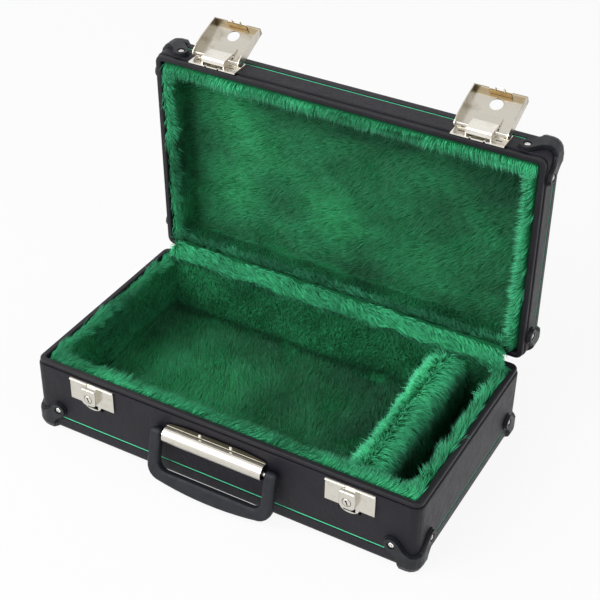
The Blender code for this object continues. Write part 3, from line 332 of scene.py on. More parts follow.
@dataclass(frozen=True)
class MouldedPlastic:
    """Black plastic with a fine spark-eroded grain and rubbed spots."""

    name: str
    colour: Colour
    roughness: tuple[float, float] = (0.40, 0.54)

    def material(self) -> bpy.types.Material:
        """Build the material."""
        nodes = Nodes(self.name)
        where = nodes.place()
        fine = nodes.noise(where, 0.0004, 2.0)
        rubbed = nodes.span(nodes.noise(where, 0.009, 4.0, 0.6), 0.42, 0.62)
        worn = tuple(value * 1.35 + 0.002 for value in self.colour)
        return nodes.surface({
            "Base Color": nodes.blend(rubbed, self.colour, worn),
            "Roughness": nodes.span(rubbed, 0.0, 1.0, self.roughness[1], self.roughness[0]),
            "Specular IOR Level": 0.36,
            "Normal": nodes.bump(fine, 0.00003, 0.8),
        })


@dataclass(frozen=True)
class PlatedMetal:
    """Bright plate over pressed sheet, with faint waves, fine rubbing and dull spots.

    A painted shade band, where it has one, is an axis and the two heights on it between which
    the colour turns into the band's own: painted shade or a painted dark reflection.
    """

    name: str
    colour: Colour
    dull: Colour
    roughness: tuple[float, float] = (0.16, 0.34)
    wave: float = 0.00007
    stain: tuple[float, float] = (0.0090, 0.7)
    band: tuple[int, float, float] | None = None
    band_colour: Colour = (0.01, 0.01, 0.01)

    def material(self) -> bpy.types.Material:
        """Build the material."""
        nodes = Nodes(self.name)
        where = nodes.place()
        size, most = self.stain
        stain = nodes.span(nodes.noise(where, size, 4.0, 0.6), 0.52, 0.80, 0.0, most)
        rub = nodes.noise(nodes.place((0.15, 5.0, 5.0)), 0.0022, 3.0)
        rough = nodes.sum(nodes.span(rub, 0.3, 0.7, *self.roughness),
                          nodes.sum(stain, 0.10, "MULTIPLY"))
        waves = nodes.noise(where, 0.0085, 2.0)
        height = nodes.sum(waves, nodes.sum(rub, 0.06, "MULTIPLY"))
        colour = nodes.blend(stain, self.colour, self.dull)
        # Painted shade or a painted dark reflection over one stretch of the part, past the band's
        # end on its axis
        if self.band:
            axis, begin, end = self.band
            split = nodes.add("SeparateXYZ", {"Vector": where}).outputs[axis]
            colour = nodes.blend(nodes.span(split, begin, end), colour, self.band_colour)
        return nodes.surface({
            "Base Color": colour,
            "Metallic": 1.0,
            "Roughness": rough,
            "Normal": nodes.bump(height, self.wave),
        })


@dataclass(frozen=True)
class Cord:
    """Bright covered cord with a fine twist."""

    name: str
    colour: Colour
    shade: Colour

    def material(self) -> bpy.types.Material:
        """Build the material."""
        nodes = Nodes(self.name)
        where = nodes.place((1.0, 1.0, 2.2))
        twist = nodes.noise(where, 0.0009, 2.0)
        return nodes.surface({
            "Base Color": nodes.blend(nodes.span(twist, 0.3, 0.7), self.shade, self.colour),
            "Roughness": 0.55,
            "Normal": nodes.bump(twist, 0.0001),
        })


@dataclass(frozen=True)
class Plywood:
    """Bare birch board with a long grain."""

    name: str
    light: Colour
    dark: Colour

    def material(self) -> bpy.types.Material:
        """Build the material."""
        nodes = Nodes(self.name)
        grain = nodes.noise(nodes.place((1.0, 0.06, 1.0)), 0.0016, 5.0)
        return nodes.surface({
            "Base Color": nodes.blend(nodes.span(grain, 0.35, 0.65), self.dark, self.light),
            "Roughness": 0.68,
            "Normal": nodes.bump(grain, 0.0001),
        })


@dataclass(frozen=True)
class FurSkin:
    """Knitted backing that shows between the strands."""

    name: str
    colour: Colour
    light: Colour

    def material(self) -> bpy.types.Material:
        """Build the material."""
        nodes = Nodes(self.name)
        where = nodes.place()
        tufts = nodes.noise(where, 0.0016, 3.0, 0.7)
        patches = nodes.noise(where, 0.024, 3.0)
        share = nodes.sum(nodes.span(tufts, 0.35, 0.7), nodes.span(patches, 0.3, 0.7, 0.4, 1.0),
                          "MULTIPLY")
        return nodes.surface({
            "Base Color": nodes.blend(share, self.colour, self.light),
            "Roughness": 0.92,
            "Specular IOR Level": 0.15,
            "Normal": nodes.bump(tufts, 0.0006),
        })


@dataclass(frozen=True)
class FurPile:
    """Strands that run from a dark root to a light tip, each with its own tone."""

    name: str
    root: Colour
    body: Colour
    tip: Colour

    def material(self) -> bpy.types.Material:
        """Build the material from the strands' colour attribute: length, tone, and patch, which
        holds painted light and shade with random mottling.
        """
        nodes = Nodes(self.name)
        stored = nodes.add("Attribute", {}, attribute_name="pile").outputs["Color"]
        parts = nodes.add("SeparateColor", {"Color": stored})
        along, tone, patch = parts.outputs[0], parts.outputs[1], parts.outputs[2]
        lower = nodes.blend(nodes.span(along, 0.0, 0.55), self.root, self.body)
        upper = nodes.blend(nodes.span(along, 0.55, 1.0), lower, self.tip)
        # Brightness from each strand's random tone and from patch, which carries painted light and
        # shade with random mottling
        light = nodes.sum(nodes.span(tone, 0.0, 1.0, 0.82, 1.16),
                          nodes.span(patch, 0.0, 1.0, 0.32, 1.60), "MULTIPLY")
        scaled = nodes.add("VectorMath", {0: upper, "Scale": light}, operation="SCALE")
        return nodes.surface({
            "Base Color": scaled.outputs[0],
            "Roughness": 0.60,
            "Specular IOR Level": 0.17,
            "Sheen Weight": 0.24,
            "Sheen Roughness": 0.45,
            "Sheen Tint": (0.35, 0.95, 0.62, 1.0),
        })


class Finish(Enum):
    """The finishes of the case's pieces, by the record's material slots."""

    LEATHERCLOTH = Leathercloth("leathercloth", (0.0052, 0.0042, 0.0082), (0.0092, 0.0078, 0.0138))
    BINDING = Leathercloth("binding", (0.0085, 0.0076, 0.0110), (0.0150, 0.0138, 0.0185),
                           grain=0.0008, depth=0.00012, roughness=(0.30, 0.42))
    PIPING = Cord("piping", (0.095, 0.80, 0.42), (0.045, 0.52, 0.26))
    FUR = FurSkin("fur_skin", (0.0070, 0.100, 0.034), (0.0170, 0.230, 0.085))
    PLASTIC = MouldedPlastic("plastic", (0.0068, 0.0078, 0.0108))
    GRIP = MouldedPlastic("grip", (0.0068, 0.0080, 0.0118), (0.47, 0.59))
    NICKEL = PlatedMetal("nickel", (0.67, 0.645, 0.58), (0.52, 0.47, 0.39))
    BRASS = PlatedMetal("brass", (0.34, 0.24, 0.11), (0.18, 0.11, 0.05), (0.24, 0.42))
    STEEL = PlatedMetal("steel", (0.52, 0.50, 0.48), (0.30, 0.27, 0.24), (0.26, 0.42))
    PLYWOOD = Plywood("plywood", (0.46, 0.31, 0.18), (0.30, 0.19, 0.10))
    PILE = FurPile("fur_pile", (0.0130, 0.170, 0.048), (0.0250, 0.300, 0.104),
                   (0.056, 0.47, 0.212))
    # Painted light: the same pile drawn lighter, for the rims, the divider and the gusset, which
    # stand in the light
    LIGHT_PILE = FurPile("painted_light_pile", (0.0200, 0.240, 0.092), (0.0440, 0.430, 0.190),
                         (0.130, 0.70, 0.395))
    RIVET = PlatedMetal("rivet_head", (0.90, 0.88, 0.83), (0.80, 0.76, 0.70), (0.20, 0.34),
                        wave=0.00002)
    # Beyond 0.1400 along Y the flap is drawn brown-dark: painted shade
    FLAP = PlatedMetal("flap_plate", (0.60, 0.565, 0.495), (0.27, 0.225, 0.16), stain=(0.024, 0.9),
                      band=(1, 0.1385, 0.1400), band_colour=(0.34, 0.30, 0.23))
    LATCH_PLATE = PlatedMetal("latch_plate", (0.84, 0.81, 0.74), (0.62, 0.56, 0.46))
    # Above 0.0625 in height the cover's flange is drawn near black: a painted dark reflection
    COVER = PlatedMetal("cover_plate", (0.66, 0.63, 0.56), (0.50, 0.45, 0.36),
                        band=(2, 0.0621, 0.0625), band_colour=(0.022, 0.021, 0.015))
    # Behind -0.1307 along Y the keyway's walls and floor are drawn near black: painted shade in
    # the keyhole
    PLUG = PlatedMetal("key_plug_plate", (0.72, 0.69, 0.62), (0.52, 0.47, 0.39),
                       band=(1, -0.1310, -0.1307), band_colour=(0.004, 0.004, 0.004))


class Wardrobe:
    """Each finish's material, made once."""

    def __init__(self) -> None:
        """Start with nothing made."""
        self.made: dict[Finish, bpy.types.Material] = {}

    def give(self, finish: Finish) -> bpy.types.Material:
        """The material of a finish."""
        if finish not in self.made:
            self.made[finish] = finish.value.material()
        return self.made[finish]

    def dress(self, item: bpy.types.Object, finish: Finish) -> None:
        """Make a finish the only material of a piece."""
        item.data.materials.clear()
        item.data.materials.append(self.give(finish))

    def fit(self, item: bpy.types.Object, finish: Finish, body: str) -> None:
        """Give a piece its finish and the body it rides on."""
        self.dress(item, finish)
        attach(item, body)


# ---- Fur


def unit(rows: Rows) -> Rows:
    """Rows of vectors brought to length 1."""
    return rows / np.maximum(np.linalg.norm(rows, axis=1, keepdims=True), 1e-12)


def triples(items: bpy.types.bpy_prop_collection, key: str, kind: type = float) -> Rows:
    """The three numbers that each of a mesh's elements has under a key."""
    values = np.empty(len(items) * 3, kind)
    items.foreach_get(key, values)
    return values.reshape(-1, 3)


def waves(points: Rows, size: float, seed: int, count: int = 12) -> Rows:
    """A smooth random value at each point, mostly between -1.5 and 1.5.

    Args:
        points: rows of x, y and z.
        size: the width of its features.
        seed: picks one pattern.
        count: how many waves are laid over each other.

    Returns:
        One value for each row.
    """
    random = np.random.default_rng(seed)
    ways = unit(random.normal(size=(count, 3))) / (size * random.uniform(0.7, 1.6, (count, 1)))
    phase = random.uniform(0.0, TAU, count)
    return np.sin(points @ ways.T * TAU + phase).sum(axis=1) / math.sqrt(count / 2)


@dataclass
class Roots:
    """Where strands leave a backing, and which way is out."""

    points: Rows
    normals: Rows

    @classmethod
    def on(cls, skin: bpy.types.Object, density: float, seed: int,
           wanted: Facing) -> "Roots":
        """Scatter roots evenly over part of a mesh.

        Args:
            skin: the backing.
            density: strands for each square metre.
            seed: picks the scatter.
            wanted: told the triangles' middles and normals, gives a mask.

        Returns:
            The roots.
        """
        mesh = skin.data
        mesh.calc_loop_triangles()
        corners = triples(mesh.loop_triangles, "vertices", np.int32)
        places = triples(mesh.vertices, "co")
        outward = triples(mesh.vertices, "normal")
        a, b, c = (places[corners[:, i]] for i in range(3))
        cross = np.cross(b - a, c - a)
        areas = np.linalg.norm(cross, axis=1) / 2
        areas = areas * wanted((a + b + c) / 3, unit(cross))
        random = np.random.default_rng(seed)
        count = int(areas.sum() * density)
        chosen = random.choice(len(areas), count, p=areas / areas.sum())
        u, v = random.random(count), random.random(count)
        over = u + v > 1
        u[over], v[over] = 1 - u[over], 1 - v[over]
        w = 1 - u - v

        def mix(rows: Rows) -> Rows:
            """The value of some rows at each root, between its triangle's corners."""
            return (rows[corners[chosen, 0]] * w[:, None] + rows[corners[chosen, 1]] * u[:, None]
                    + rows[corners[chosen, 2]] * v[:, None])

        return cls(mix(places), unit(mix(outward)))


@dataclass(frozen=True)
class Pile:
    """How the fur of one surface grows: curved strands over an undercoat of straight ones."""

    density: float = 220_000.0
    under: float = 700_000.0
    length: float = 0.0104
    width: float = 0.00062
    under_width: float = 0.00074
    root_lean: float = math.radians(50.0)
    tip_lean: float = math.radians(82.0)
    clump: float = 0.0046
    pull: float = 0.14
    swirl: float = 0.17
    seed: int = 1

    def coats(self, skin: bpy.types.Object, wanted: Facing, lay: Facing, tint: Placed,
              stand: Point | None = None) -> list["Strands"]:
        """Grow both coats on part of a backing.

        Args:
            skin: the backing.
            wanted: told the triangles' middles and normals, gives a mask.
            lay: told the roots' places and normals, gives the way that each strand leans.
            tint: told the roots' places, gives how much lighter or darker each one is painted, as
                painted light and shade.
            stand: the way that the strands stand, where it isn't the backing's own.

        Returns:
            The curved strands, then the straight ones.
        """
        coats = []
        for density, bent in ((self.density, True), (self.under, False)):
            seed = self.seed + (0 if bent else 500)
            roots = Roots.on(skin, density, seed, wanted)
            if stand:
                roots.normals = unit(roots.normals * 0.3 + stand)
            flow = lay(roots.points, roots.normals)
            coats.append(self.grow(roots, flow, tint(roots.points), bent, seed))
        return coats

    def grow(self, roots: Roots, flow: Rows, tint: Rows, bent: bool, seed: int
             ) -> "Strands":
        """Shape a strand at each root.

        Args:
            roots: where the strands stand.
            flow: the way each one leans, shorter than 1 where it stands more upright.
            tint: how much lighter or darker each one is painted, as painted light and shade.
            bent: whether they curve.
            seed: picks the scatter.

        Returns:
            The strands.
        """
        random = np.random.default_rng(seed)
        points, normals = roots.points, roots.normals
        count = len(points)
        lay = unit(flow - normals * (flow * normals).sum(axis=1, keepdims=True))
        cross = np.cross(normals, lay)
        turn = waves(points, 0.070, self.seed + 11) * self.swirl
        turn = turn + waves(points, 0.017, self.seed + 12) * self.swirl * 0.6
        turn = turn + random.normal(0.0, 0.13, count)
        lay = lay * np.cos(turn)[:, None] + cross * np.sin(turn)[:, None]
        raised = waves(points, 0.045, self.seed + 13) * 0.13 + random.normal(0.0, 0.08, count)
        length = self.length * np.clip(1.0 + random.normal(0.0, 0.14, count), 0.6, 1.35)
        upright = np.clip(np.linalg.norm(flow, axis=1), 0.5, 1.0)
        low, high = self.root_lean * upright + raised, self.tip_lean * upright + raised * 1.2
        first = normals * np.cos(low)[:, None] + lay * np.sin(low)[:, None]
        last = normals * np.cos(high)[:, None] + lay * np.sin(high)[:, None]
        start = points - normals * ROOT_DEPTH
        share = 1.0 if bent else 0.86
        middle = start + first * (length * 0.52 * share)[:, None]
        tip = middle + last * (length * 0.55 * share)[:, None]
        tone = random.random(count)
        middle, tip, tone = self.gather(random, points, middle, tip, tone)
        # patch: painted light and shade, plus random mottling from the waves
        patch = 0.5 + tint + 0.13 * waves(points, 0.080, self.seed + 21)
        patch = patch + 0.055 * waves(points, 0.018, self.seed + 22)
        width = (self.width if bent else self.under_width) * random.uniform(0.8, 1.2, count)
        return Strands(start, middle, tip, width, tone, np.clip(patch, 0.0, 1.0), bent, seed)

    def gather(self, random: np.random.Generator, points: Rows, middle: Rows,
               tip: Rows, tone: Rows) -> tuple[Rows, Rows, Rows]:
        """Draw neighbouring strands together into pointed tufts.

        Args:
            random: the pile's generator.
            points: the roots.
            middle: the strands' middles.
            tip: the strands' tips.
            tone: the strands' tones.

        Returns:
            The middles, tips and tones after it.
        """
        count = len(points)
        each = max(3, int((self.density + self.under) * self.clump ** 2 / 2))
        heads = random.choice(count, max(1, count // each), replace=False)
        tree = KDTree(len(heads))
        for place, head in enumerate(heads):
            tree.insert(points[head], place)
        tree.balance()
        nearest = np.fromiter((tree.find(point)[1] for point in points), np.int64, count)
        own = heads[nearest]
        pull = self.pull * random.uniform(0.4, 1.3, len(heads))[nearest][:, None]
        tip = tip + (tip[own] - tip) * pull
        middle = middle + (middle[own] - middle) * pull * 0.35
        shade = random.random(len(heads))[nearest]
        return middle, tip, tone * 0.6 + shade * 0.4


@dataclass
class Strands:
    """Pointed strands as rows of numbers, curved or straight."""

    start: Rows
    middle: Rows
    tip: Rows
    width: Rows
    tone: Rows
    patch: Rows
    bent: bool
    seed: int

    def part(self, rows: Rows) -> "Strands":
        """Some of the strands."""
        return replace(self, start=self.start[rows], middle=self.middle[rows],
                       tip=self.tip[rows], width=self.width[rows], tone=self.tone[rows],
                       patch=self.patch[rows])

    def slices(self, count: int) -> list["Strands"]:
        """The strands shared out in equal numbers from left to right."""
        order = np.argsort(self.start[:, 0], kind="stable")
        return [self.part(rows) for rows in np.array_split(order, count)]

    def turned(self, matrix: Matrix) -> "Strands":
        """The strands carried to another place."""
        turn = np.array(matrix.to_3x3()).T
        shift = np.array(matrix.translation)
        return replace(self, start=self.start @ turn + shift, middle=self.middle @ turn + shift,
                       tip=self.tip @ turn + shift)

    def shape(self) -> tuple[Rows, list[tuple[int, int, int]], list[float]]:
        """The points of each strand, its triangles, and how far along it each point is."""
        random = np.random.default_rng(self.seed + 5)
        axis = unit((self.middle if self.bent else self.tip) - self.start)
        side = unit(np.cross(axis, random.normal(size=axis.shape)))
        frames = [(self.start, side, np.cross(axis, side), 0.50)]
        if self.bent:
            bend = unit(axis + unit(self.tip - self.middle))
            across = unit(side - bend * (side * bend).sum(axis=1, keepdims=True))
            frames.append((self.middle, across, np.cross(bend, across), 0.43))
        rows = []
        for centre, across, over, share in frames:
            for corner in range(3):
                angle = TAU * corner / 3
                away = across * math.cos(angle) + over * math.sin(angle)
                rows.append(centre + away * (self.width * share)[:, None])
        rows.append(self.tip)
        pattern = [(0, 2, 1)]
        last = len(rows) - 4
        for k in range(3):
            after = (k + 1) % 3
            if self.bent:
                pattern += [(k, after, 3 + after), (k, 3 + after, 3 + k)]
            pattern.append((last + k, last + after, last + 3))
        along = [0.0] * 3 + ([0.55] * 3 if self.bent else []) + [1.0]
        return np.stack(rows, axis=1), pattern, along


def knit(name: str, coats: list[Strands]) -> bpy.types.Object:
    """Make one mesh piece of several coats of strands.

    Args:
        name: the piece's name.
        coats: the strands.

    Returns:
        The object, whose colour attribute holds length, tone, and patch with its painted light and
        shade.
    """
    places, corners, colours = [], [], []
    base = 0
    for coat in coats:
        points, pattern, along = coat.shape()
        count, each = points.shape[:2]
        steps = np.arange(count)[:, None, None] * each + base
        corners.append((np.array(pattern)[None, :, :] + steps).reshape(-1))
        places.append(points.reshape(-1, 3))
        colours.append(np.stack([np.tile(along, count), np.repeat(coat.tone, each),
                                 np.repeat(coat.patch, each), np.ones(count * each)], axis=1))
        base += count * each
    corners = np.concatenate(corners)
    faces = len(corners) // 3
    mesh = bpy.data.meshes.new(name)
    mesh.vertices.add(base)
    mesh.vertices.foreach_set("co", np.concatenate(places).astype(np.float32).ravel())
    mesh.loops.add(len(corners))
    mesh.loops.foreach_set("vertex_index", corners.astype(np.int32))
    mesh.polygons.add(faces)
    mesh.polygons.foreach_set("loop_start", np.arange(0, faces * 3, 3, dtype=np.int32))
    mesh.update(calc_edges=True)
    mesh.polygons.foreach_set("use_smooth", np.ones(faces, bool))
    attribute = mesh.color_attributes.new("pile", "FLOAT_COLOR", "POINT")
    attribute.data.foreach_set("color", np.concatenate(colours).astype(np.float32).ravel())
    LOG.info("%s: %d triangles", name, faces)
    return add_object(name, mesh)


@dataclass
class TrayFur:
    """Fur that lines one tray: a soft backing and the strands on it."""

    name: str
    body: str
    node: str
    floor: float
    rim: float
    upwards: int
    lay: Facing
    edge_lay: Placed
    # Painted light and shade on the tray's fur
    tint: Placed
    pieces: int = 4
    outer: float = LINING_OUTER
    shell: float = LINING_SHELL
    bed: float = 0.0045
    corner: float = 0.0110
    fillet: float = 0.0060
    outer_fillet: float = 0.0015
    voxel: float = 0.0034
    rim_depth: float = 0.0045

    def skin(self) -> bpy.types.Object:
        """Model the backing as a thick open tray, in the shut case's place."""
        low, high = sorted((self.floor - self.upwards * self.bed, self.rim))
        item = add_block(self.name + "_backing",
                         (-HALF_WIDTH + self.outer, FRONT + self.outer, low),
                         (HALF_WIDTH - self.outer, REAR - self.outer, high))
        rim, floor = self.rim, self.floor
        pick(item, Part.FACE, lambda middle, normal: abs(middle.z - rim) < TOUCH)
        bpy.ops.mesh.inset(thickness=self.shell)
        bpy.ops.mesh.extrude_region_move(TRANSFORM_OT_translate={"value": (0.0, 0.0, floor - rim)})
        inset = self.outer + self.shell
        wide, deep = HALF_WIDTH - inset, (REAR - FRONT) / 2 - inset
        middle_y = (FRONT + REAR) / 2
        pick(item, Part.EDGE, lambda a, b: abs(a.z - b.z) > 0.01 and abs(a.x) < wide + 1e-4
                   and abs(a.y - middle_y) < deep + 1e-4)
        bpy.ops.mesh.bevel(offset=self.corner, segments=4, affect="EDGES")
        pick(item, Part.EDGE, lambda a, b: abs(a.z - floor) < TOUCH
             and abs(b.z - floor) < TOUCH)
        bpy.ops.mesh.bevel(offset=self.fillet, segments=3, affect="EDGES")
        pick(item, Part.EDGE, lambda a, b: abs(a.z - b.z) > 0.01 and abs(a.x) > wide + 0.002
                   and abs(a.y - middle_y) > deep + 0.002)
        bpy.ops.mesh.bevel(offset=self.outer_fillet, segments=2, affect="EDGES")
        soften(item, self.voxel, 0.018, 0.0014)
        return item

    def edge(self, middles: Rows, normals: Rows) -> Rows:
        """A mask of what faces the tray's open side at its rim."""
        near = (middles[:, 2] - self.rim) * self.upwards > -self.rim_depth
        return near & (normals[:, 2] * self.upwards > 0.35)

    def inner(self, middles: Rows, normals: Rows) -> Rows:
        """A mask of what faces the inside of the tray."""
        ahead = middles + normals * 0.006
        inset = self.outer + self.shell
        inside = (np.abs(ahead[:, 0]) < HALF_WIDTH - inset) & (ahead[:, 1] > FRONT + inset)
        inside &= ahead[:, 1] < REAR - inset
        inside &= (ahead[:, 2] - self.floor) * self.upwards > 0
        return inside & ~self.edge(middles, normals)

    def build(self, wardrobe: Wardrobe, pile: Pile, rim_pile: Pile, turn: Matrix) -> None:
        """Make the backing and its strands, and put them where the tray stands."""
        skin = self.skin()
        coats = pile.coats(skin, self.inner, self.lay, self.tint)
        edging = rim_pile.coats(skin, self.edge, lambda points, normals: self.edge_lay(points),
                                rim_painted_light, (0.0, 0.0, float(self.upwards)))
        skin.data.transform(turn)
        wardrobe.fit(skin, Finish.FUR, self.body)
        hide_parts(self.node)
        LOG.info("%s: %d faces", skin.name, len(skin.data.polygons))
        shares = zip(*(coat.turned(turn).slices(self.pieces) for coat in coats))
        for index, share in enumerate(shares):
            piece = knit(f"{self.name}_pile_{index + 1}", list(share))
            wardrobe.fit(piece, Finish.PILE, self.body)
        rim = knit(self.name + "_edge_pile", [coat.turned(turn) for coat in edging])
        wardrobe.fit(rim, Finish.LIGHT_PILE, self.body)


def lid_lay(points: Rows, normals: Rows) -> Rows:
    """Which way the lid's fur lies, for the shut lid: rising to the right on the top panel."""
    share = np.clip(points[:, 0] / 0.16 * 0.5 + 0.5, 0.0, 1.0)[:, None]
    flow = np.array([-1.0, 0.29, 0.0]) * (1 - share) + np.array([-0.85, 0.80, 0.0]) * share
    flow[np.abs(normals[:, 2]) < 0.6] = (0.35, 0.30, -0.8)
    return flow


def lid_edge_lay(points: Rows) -> Rows:
    """Which way the fur on the lid's rim hangs: inwards, and down once the lid is open."""
    inwards = towards_middle(points) * (edge_share(points) * 2.0 - 0.10)[:, None]
    return unit(inwards + (-0.2, 0.45, 0.0))


def lid_painted_light(points: Rows) -> Rows:
    """Painted light and shade on the lid's fur: a touch lighter overall, with painted shade under
    its front rim, on its right half, in the crease by the hinges and on its left wall.
    """
    x, y = points[:, 0], points[:, 1]
    right = np.clip((x + 0.11) / 0.08, 0.0, 1.0)
    band = np.exp(-((y + 0.092) / 0.027) ** 2)
    crease = np.exp(-((y - 0.080) / 0.010) ** 2)
    right_half = np.clip((x - 0.06) / 0.08, 0.0, 1.0)
    wall = np.clip((-0.176 - x) / 0.006, 0.0, 1.0)
    return 0.05 - 0.55 * band * right - 0.18 * right_half - 0.30 * crease - 0.18 * wall


def base_lay(points: Rows, normals: Rows) -> Rows:
    """Which way the base's fur lies: backwards on the floor and up on the walls."""
    flow = np.zeros((len(points), 3)) + (-0.30, 0.95, 0.0)
    flow[np.abs(normals[:, 2]) < 0.6] = (0.25, 0.10, 0.9)
    return flow


def base_edge_lay(points: Rows) -> Rows:
    """Which way the fur on the base's rim leans: to the right and the rear."""
    inwards = towards_middle(points) * (edge_share(points) * 1.6 - 0.25)[:, None]
    aside = np.zeros((len(points), 3)) + (0.10, 0.90, 0.0)
    aside[points[:, 1] < FRONT + 0.018] = (0.55, 0.45, 0.0)
    aside[points[:, 1] > REAR - 0.018] = (0.90, -0.40, 0.0)
    return unit(inwards + aside)


def rim_painted_light(points: Rows) -> Rows:
    """Painted light on the fur of a rim: lighter, more so on the right, with painted shade over
    the hinges.
    """
    return (0.12 + 0.10 * np.clip((points[:, 0] - 0.17) / 0.01, 0.0, 1.0)
            - 0.55 * np.clip((points[:, 1] - REAR + 0.020) / 0.006, 0.0, 1.0))


def base_painted_light(points: Rows) -> Rows:
    """Painted light and shade on the base's fur: a painted pool of light on the left half of its
    floor, and painted shade by the divider, in the crease at the rear wall and most on the right.
    """
    x, y = points[:, 0], points[:, 1]
    lit = np.exp(-((x + 0.100) / 0.075) ** 2 - ((y + 0.008) / 0.070) ** 2)
    floor = np.clip((0.022 - points[:, 2]) / 0.004, 0.0, 1.0)
    by_divider = np.exp(-((x - 0.085) / 0.040) ** 2)
    crease = np.exp(-((y - 0.0835) / 0.007) ** 2 - ((points[:, 2] - 0.014) / 0.009) ** 2)
    right = np.clip((x - 0.145) / 0.01, 0.0, 1.0)
    return (0.95 * lit - 0.30) * floor - 0.08 * by_divider - 0.50 * right - 0.55 * crease


def wall_gaps(points: Rows) -> Rows:
    """The distance from each point to the case's left, right, front and rear sides."""
    return np.stack([points[:, 0] + HALF_WIDTH, HALF_WIDTH - points[:, 0],
                     points[:, 1] - FRONT, REAR - points[:, 1]], axis=1)


def towards_middle(points: Rows) -> Rows:
    """The level way from the nearest wall to the inside of a tray."""
    ways = np.array([(1.0, 0.0, 0.0), (-1.0, 0.0, 0.0), (0.0, 1.0, 0.0), (0.0, -1.0, 0.0)])
    return ways[np.argmin(wall_gaps(points), axis=1)]


def edge_share(points: Rows) -> Rows:
    """How far over the rim's width each point is: 0 at the wall and 1 inside."""
    return np.clip((wall_gaps(points).min(axis=1) - LINING_OUTER) / LINING_SHELL, 0.0, 1.0)


@dataclass
class Divider:
    """The fur-covered partition between the main space and the small compartment."""

    centre: float = 0.1335
    half: float = 0.0130
    foot: float = 0.0165
    top: float = 0.0735
    dip: float = 0.0060
    front: float = -0.1065
    rear: float = 0.0835

    def build(self, wardrobe: Wardrobe, pile: Pile) -> None:
        """Make its padded core and the strands on it."""
        item = add_block("divider_backing", (self.centre - self.half, self.front, self.foot),
                         (self.centre + self.half, self.rear, self.top))
        top, front = self.top, self.front
        pick(item, Part.EDGE, lambda a, b: max(a.y, b.y) < front + TOUCH
             and min(a.z, b.z) > top - TOUCH)
        bpy.ops.transform.translate(value=(0.0, 0.0, -self.dip))
        low = top - self.dip
        pick(item, Part.EDGE, lambda a, b: min(a.z, b.z) > low - TOUCH
             and abs(a.y - b.y) > 0.05)
        bpy.ops.mesh.bevel(offset=0.0110, segments=5, affect="EDGES")
        soften(item, 0.0026, 0.020, 0.0030)
        foot, centre = self.foot, self.centre

        def lay(points: Rows, normals: Rows) -> Rows:
            """Parted along the top: to the left and up, and to the right and down."""
            away = (points[:, 0] - centre + 0.005) / 0.005
            flow = np.zeros((len(points), 3)) + (0.0, -0.30, 0.0)
            flow[:, 0] = np.clip(away, -0.9, 0.9)
            flow[:, 2] = np.where(away > 0, -0.75, 0.85) * (np.abs(normals[:, 0]) > 0.6)
            return flow

        def tint(points: Rows) -> Rows:
            """Painted light on the divider's fur, with painted shade down its right side."""
            return 0.36 - 0.86 * np.clip((points[:, 0] - centre - 0.006) / 0.008, 0.0, 1.0)

        coats = pile.coats(item, lambda middles, normals: (middles[:, 2] > foot + 0.001)
                           & (np.abs(normals[:, 1]) < 0.8), lay, tint)
        wardrobe.fit(item, Finish.FUR, "base")
        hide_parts("divider_lining")
        wardrobe.fit(knit("divider_pile", coats), Finish.LIGHT_PILE, "base")


@dataclass
class Gusset:
    """The strip of fur over the hinges, from the base's rear rim up to the lid's."""

    half: float = 0.181
    low: tuple[float, float] = (0.0862, 0.0802)
    high: tuple[float, float] = (0.0972, 0.0950)

    def build(self, wardrobe: Wardrobe, pile: Pile) -> None:
        """Make its roll and the strands on it."""
        item = add_block("gusset_backing", (-self.half, self.low[0], self.low[1]),
                         (self.half, self.high[0], self.high[1]))
        front, top = self.low[0], self.high[1]
        pick(item, Part.EDGE, lambda a, b: abs(a.x - b.x) > 0.1 and abs(a.y - front) < TOUCH
             and abs(a.z - top) < TOUCH)
        bpy.ops.mesh.bevel(offset=0.0085, segments=4, affect="EDGES")
        soften(item, 0.0022, 0.022, 0.0028)
        # The last argument is painted light: the gusset's fur is drawn lighter all over
        coats = pile.coats(item, lambda middles, normals: (normals[:, 1] < 0.2)
                           & (normals[:, 2] > -0.5) & (middles[:, 1] < 0.0935),
                           lambda points, normals: np.zeros((len(points), 3)) + (0.9, -0.55, -0.3),
                           lambda points: np.full(len(points), 0.42))
        piece = knit("gusset_pile", coats)
        for each, finish in ((item, Finish.FUR), (piece, Finish.LIGHT_PILE)):
            wardrobe.dress(each, finish)
            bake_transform(each)
        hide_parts("gusset")


# ---- Hardware


@dataclass(frozen=True)
class RivetHead:
    """The domed head of one rivet, turned once and copied."""

    radius: float = 0.0032
    rise: float = 0.0016

    def turn(self) -> bpy.types.Mesh:
        """Spin the head's section round its axis, with its back at zero height."""
        clear_selection()
        bpy.ops.mesh.primitive_uv_sphere_add(segments=28, ring_count=14, radius=1.0)
        item = bpy.context.object
        item.data.transform(Matrix.Diagonal((self.radius, self.radius, self.rise, 1.0)))
        pick(item, Part.FACE, lambda middle, normal: True)
        bpy.ops.mesh.bisect(plane_co=(0.0, 0.0, 0.0), plane_no=(0.0, 0.0, 1.0), clear_inner=True,
                            use_fill=True)
        bpy.ops.object.mode_set(mode="OBJECT")
        bpy.ops.object.shade_smooth_by_angle(angle=math.radians(35.0))
        mesh = item.data.copy()
        bpy.data.objects.remove(item)
        return mesh


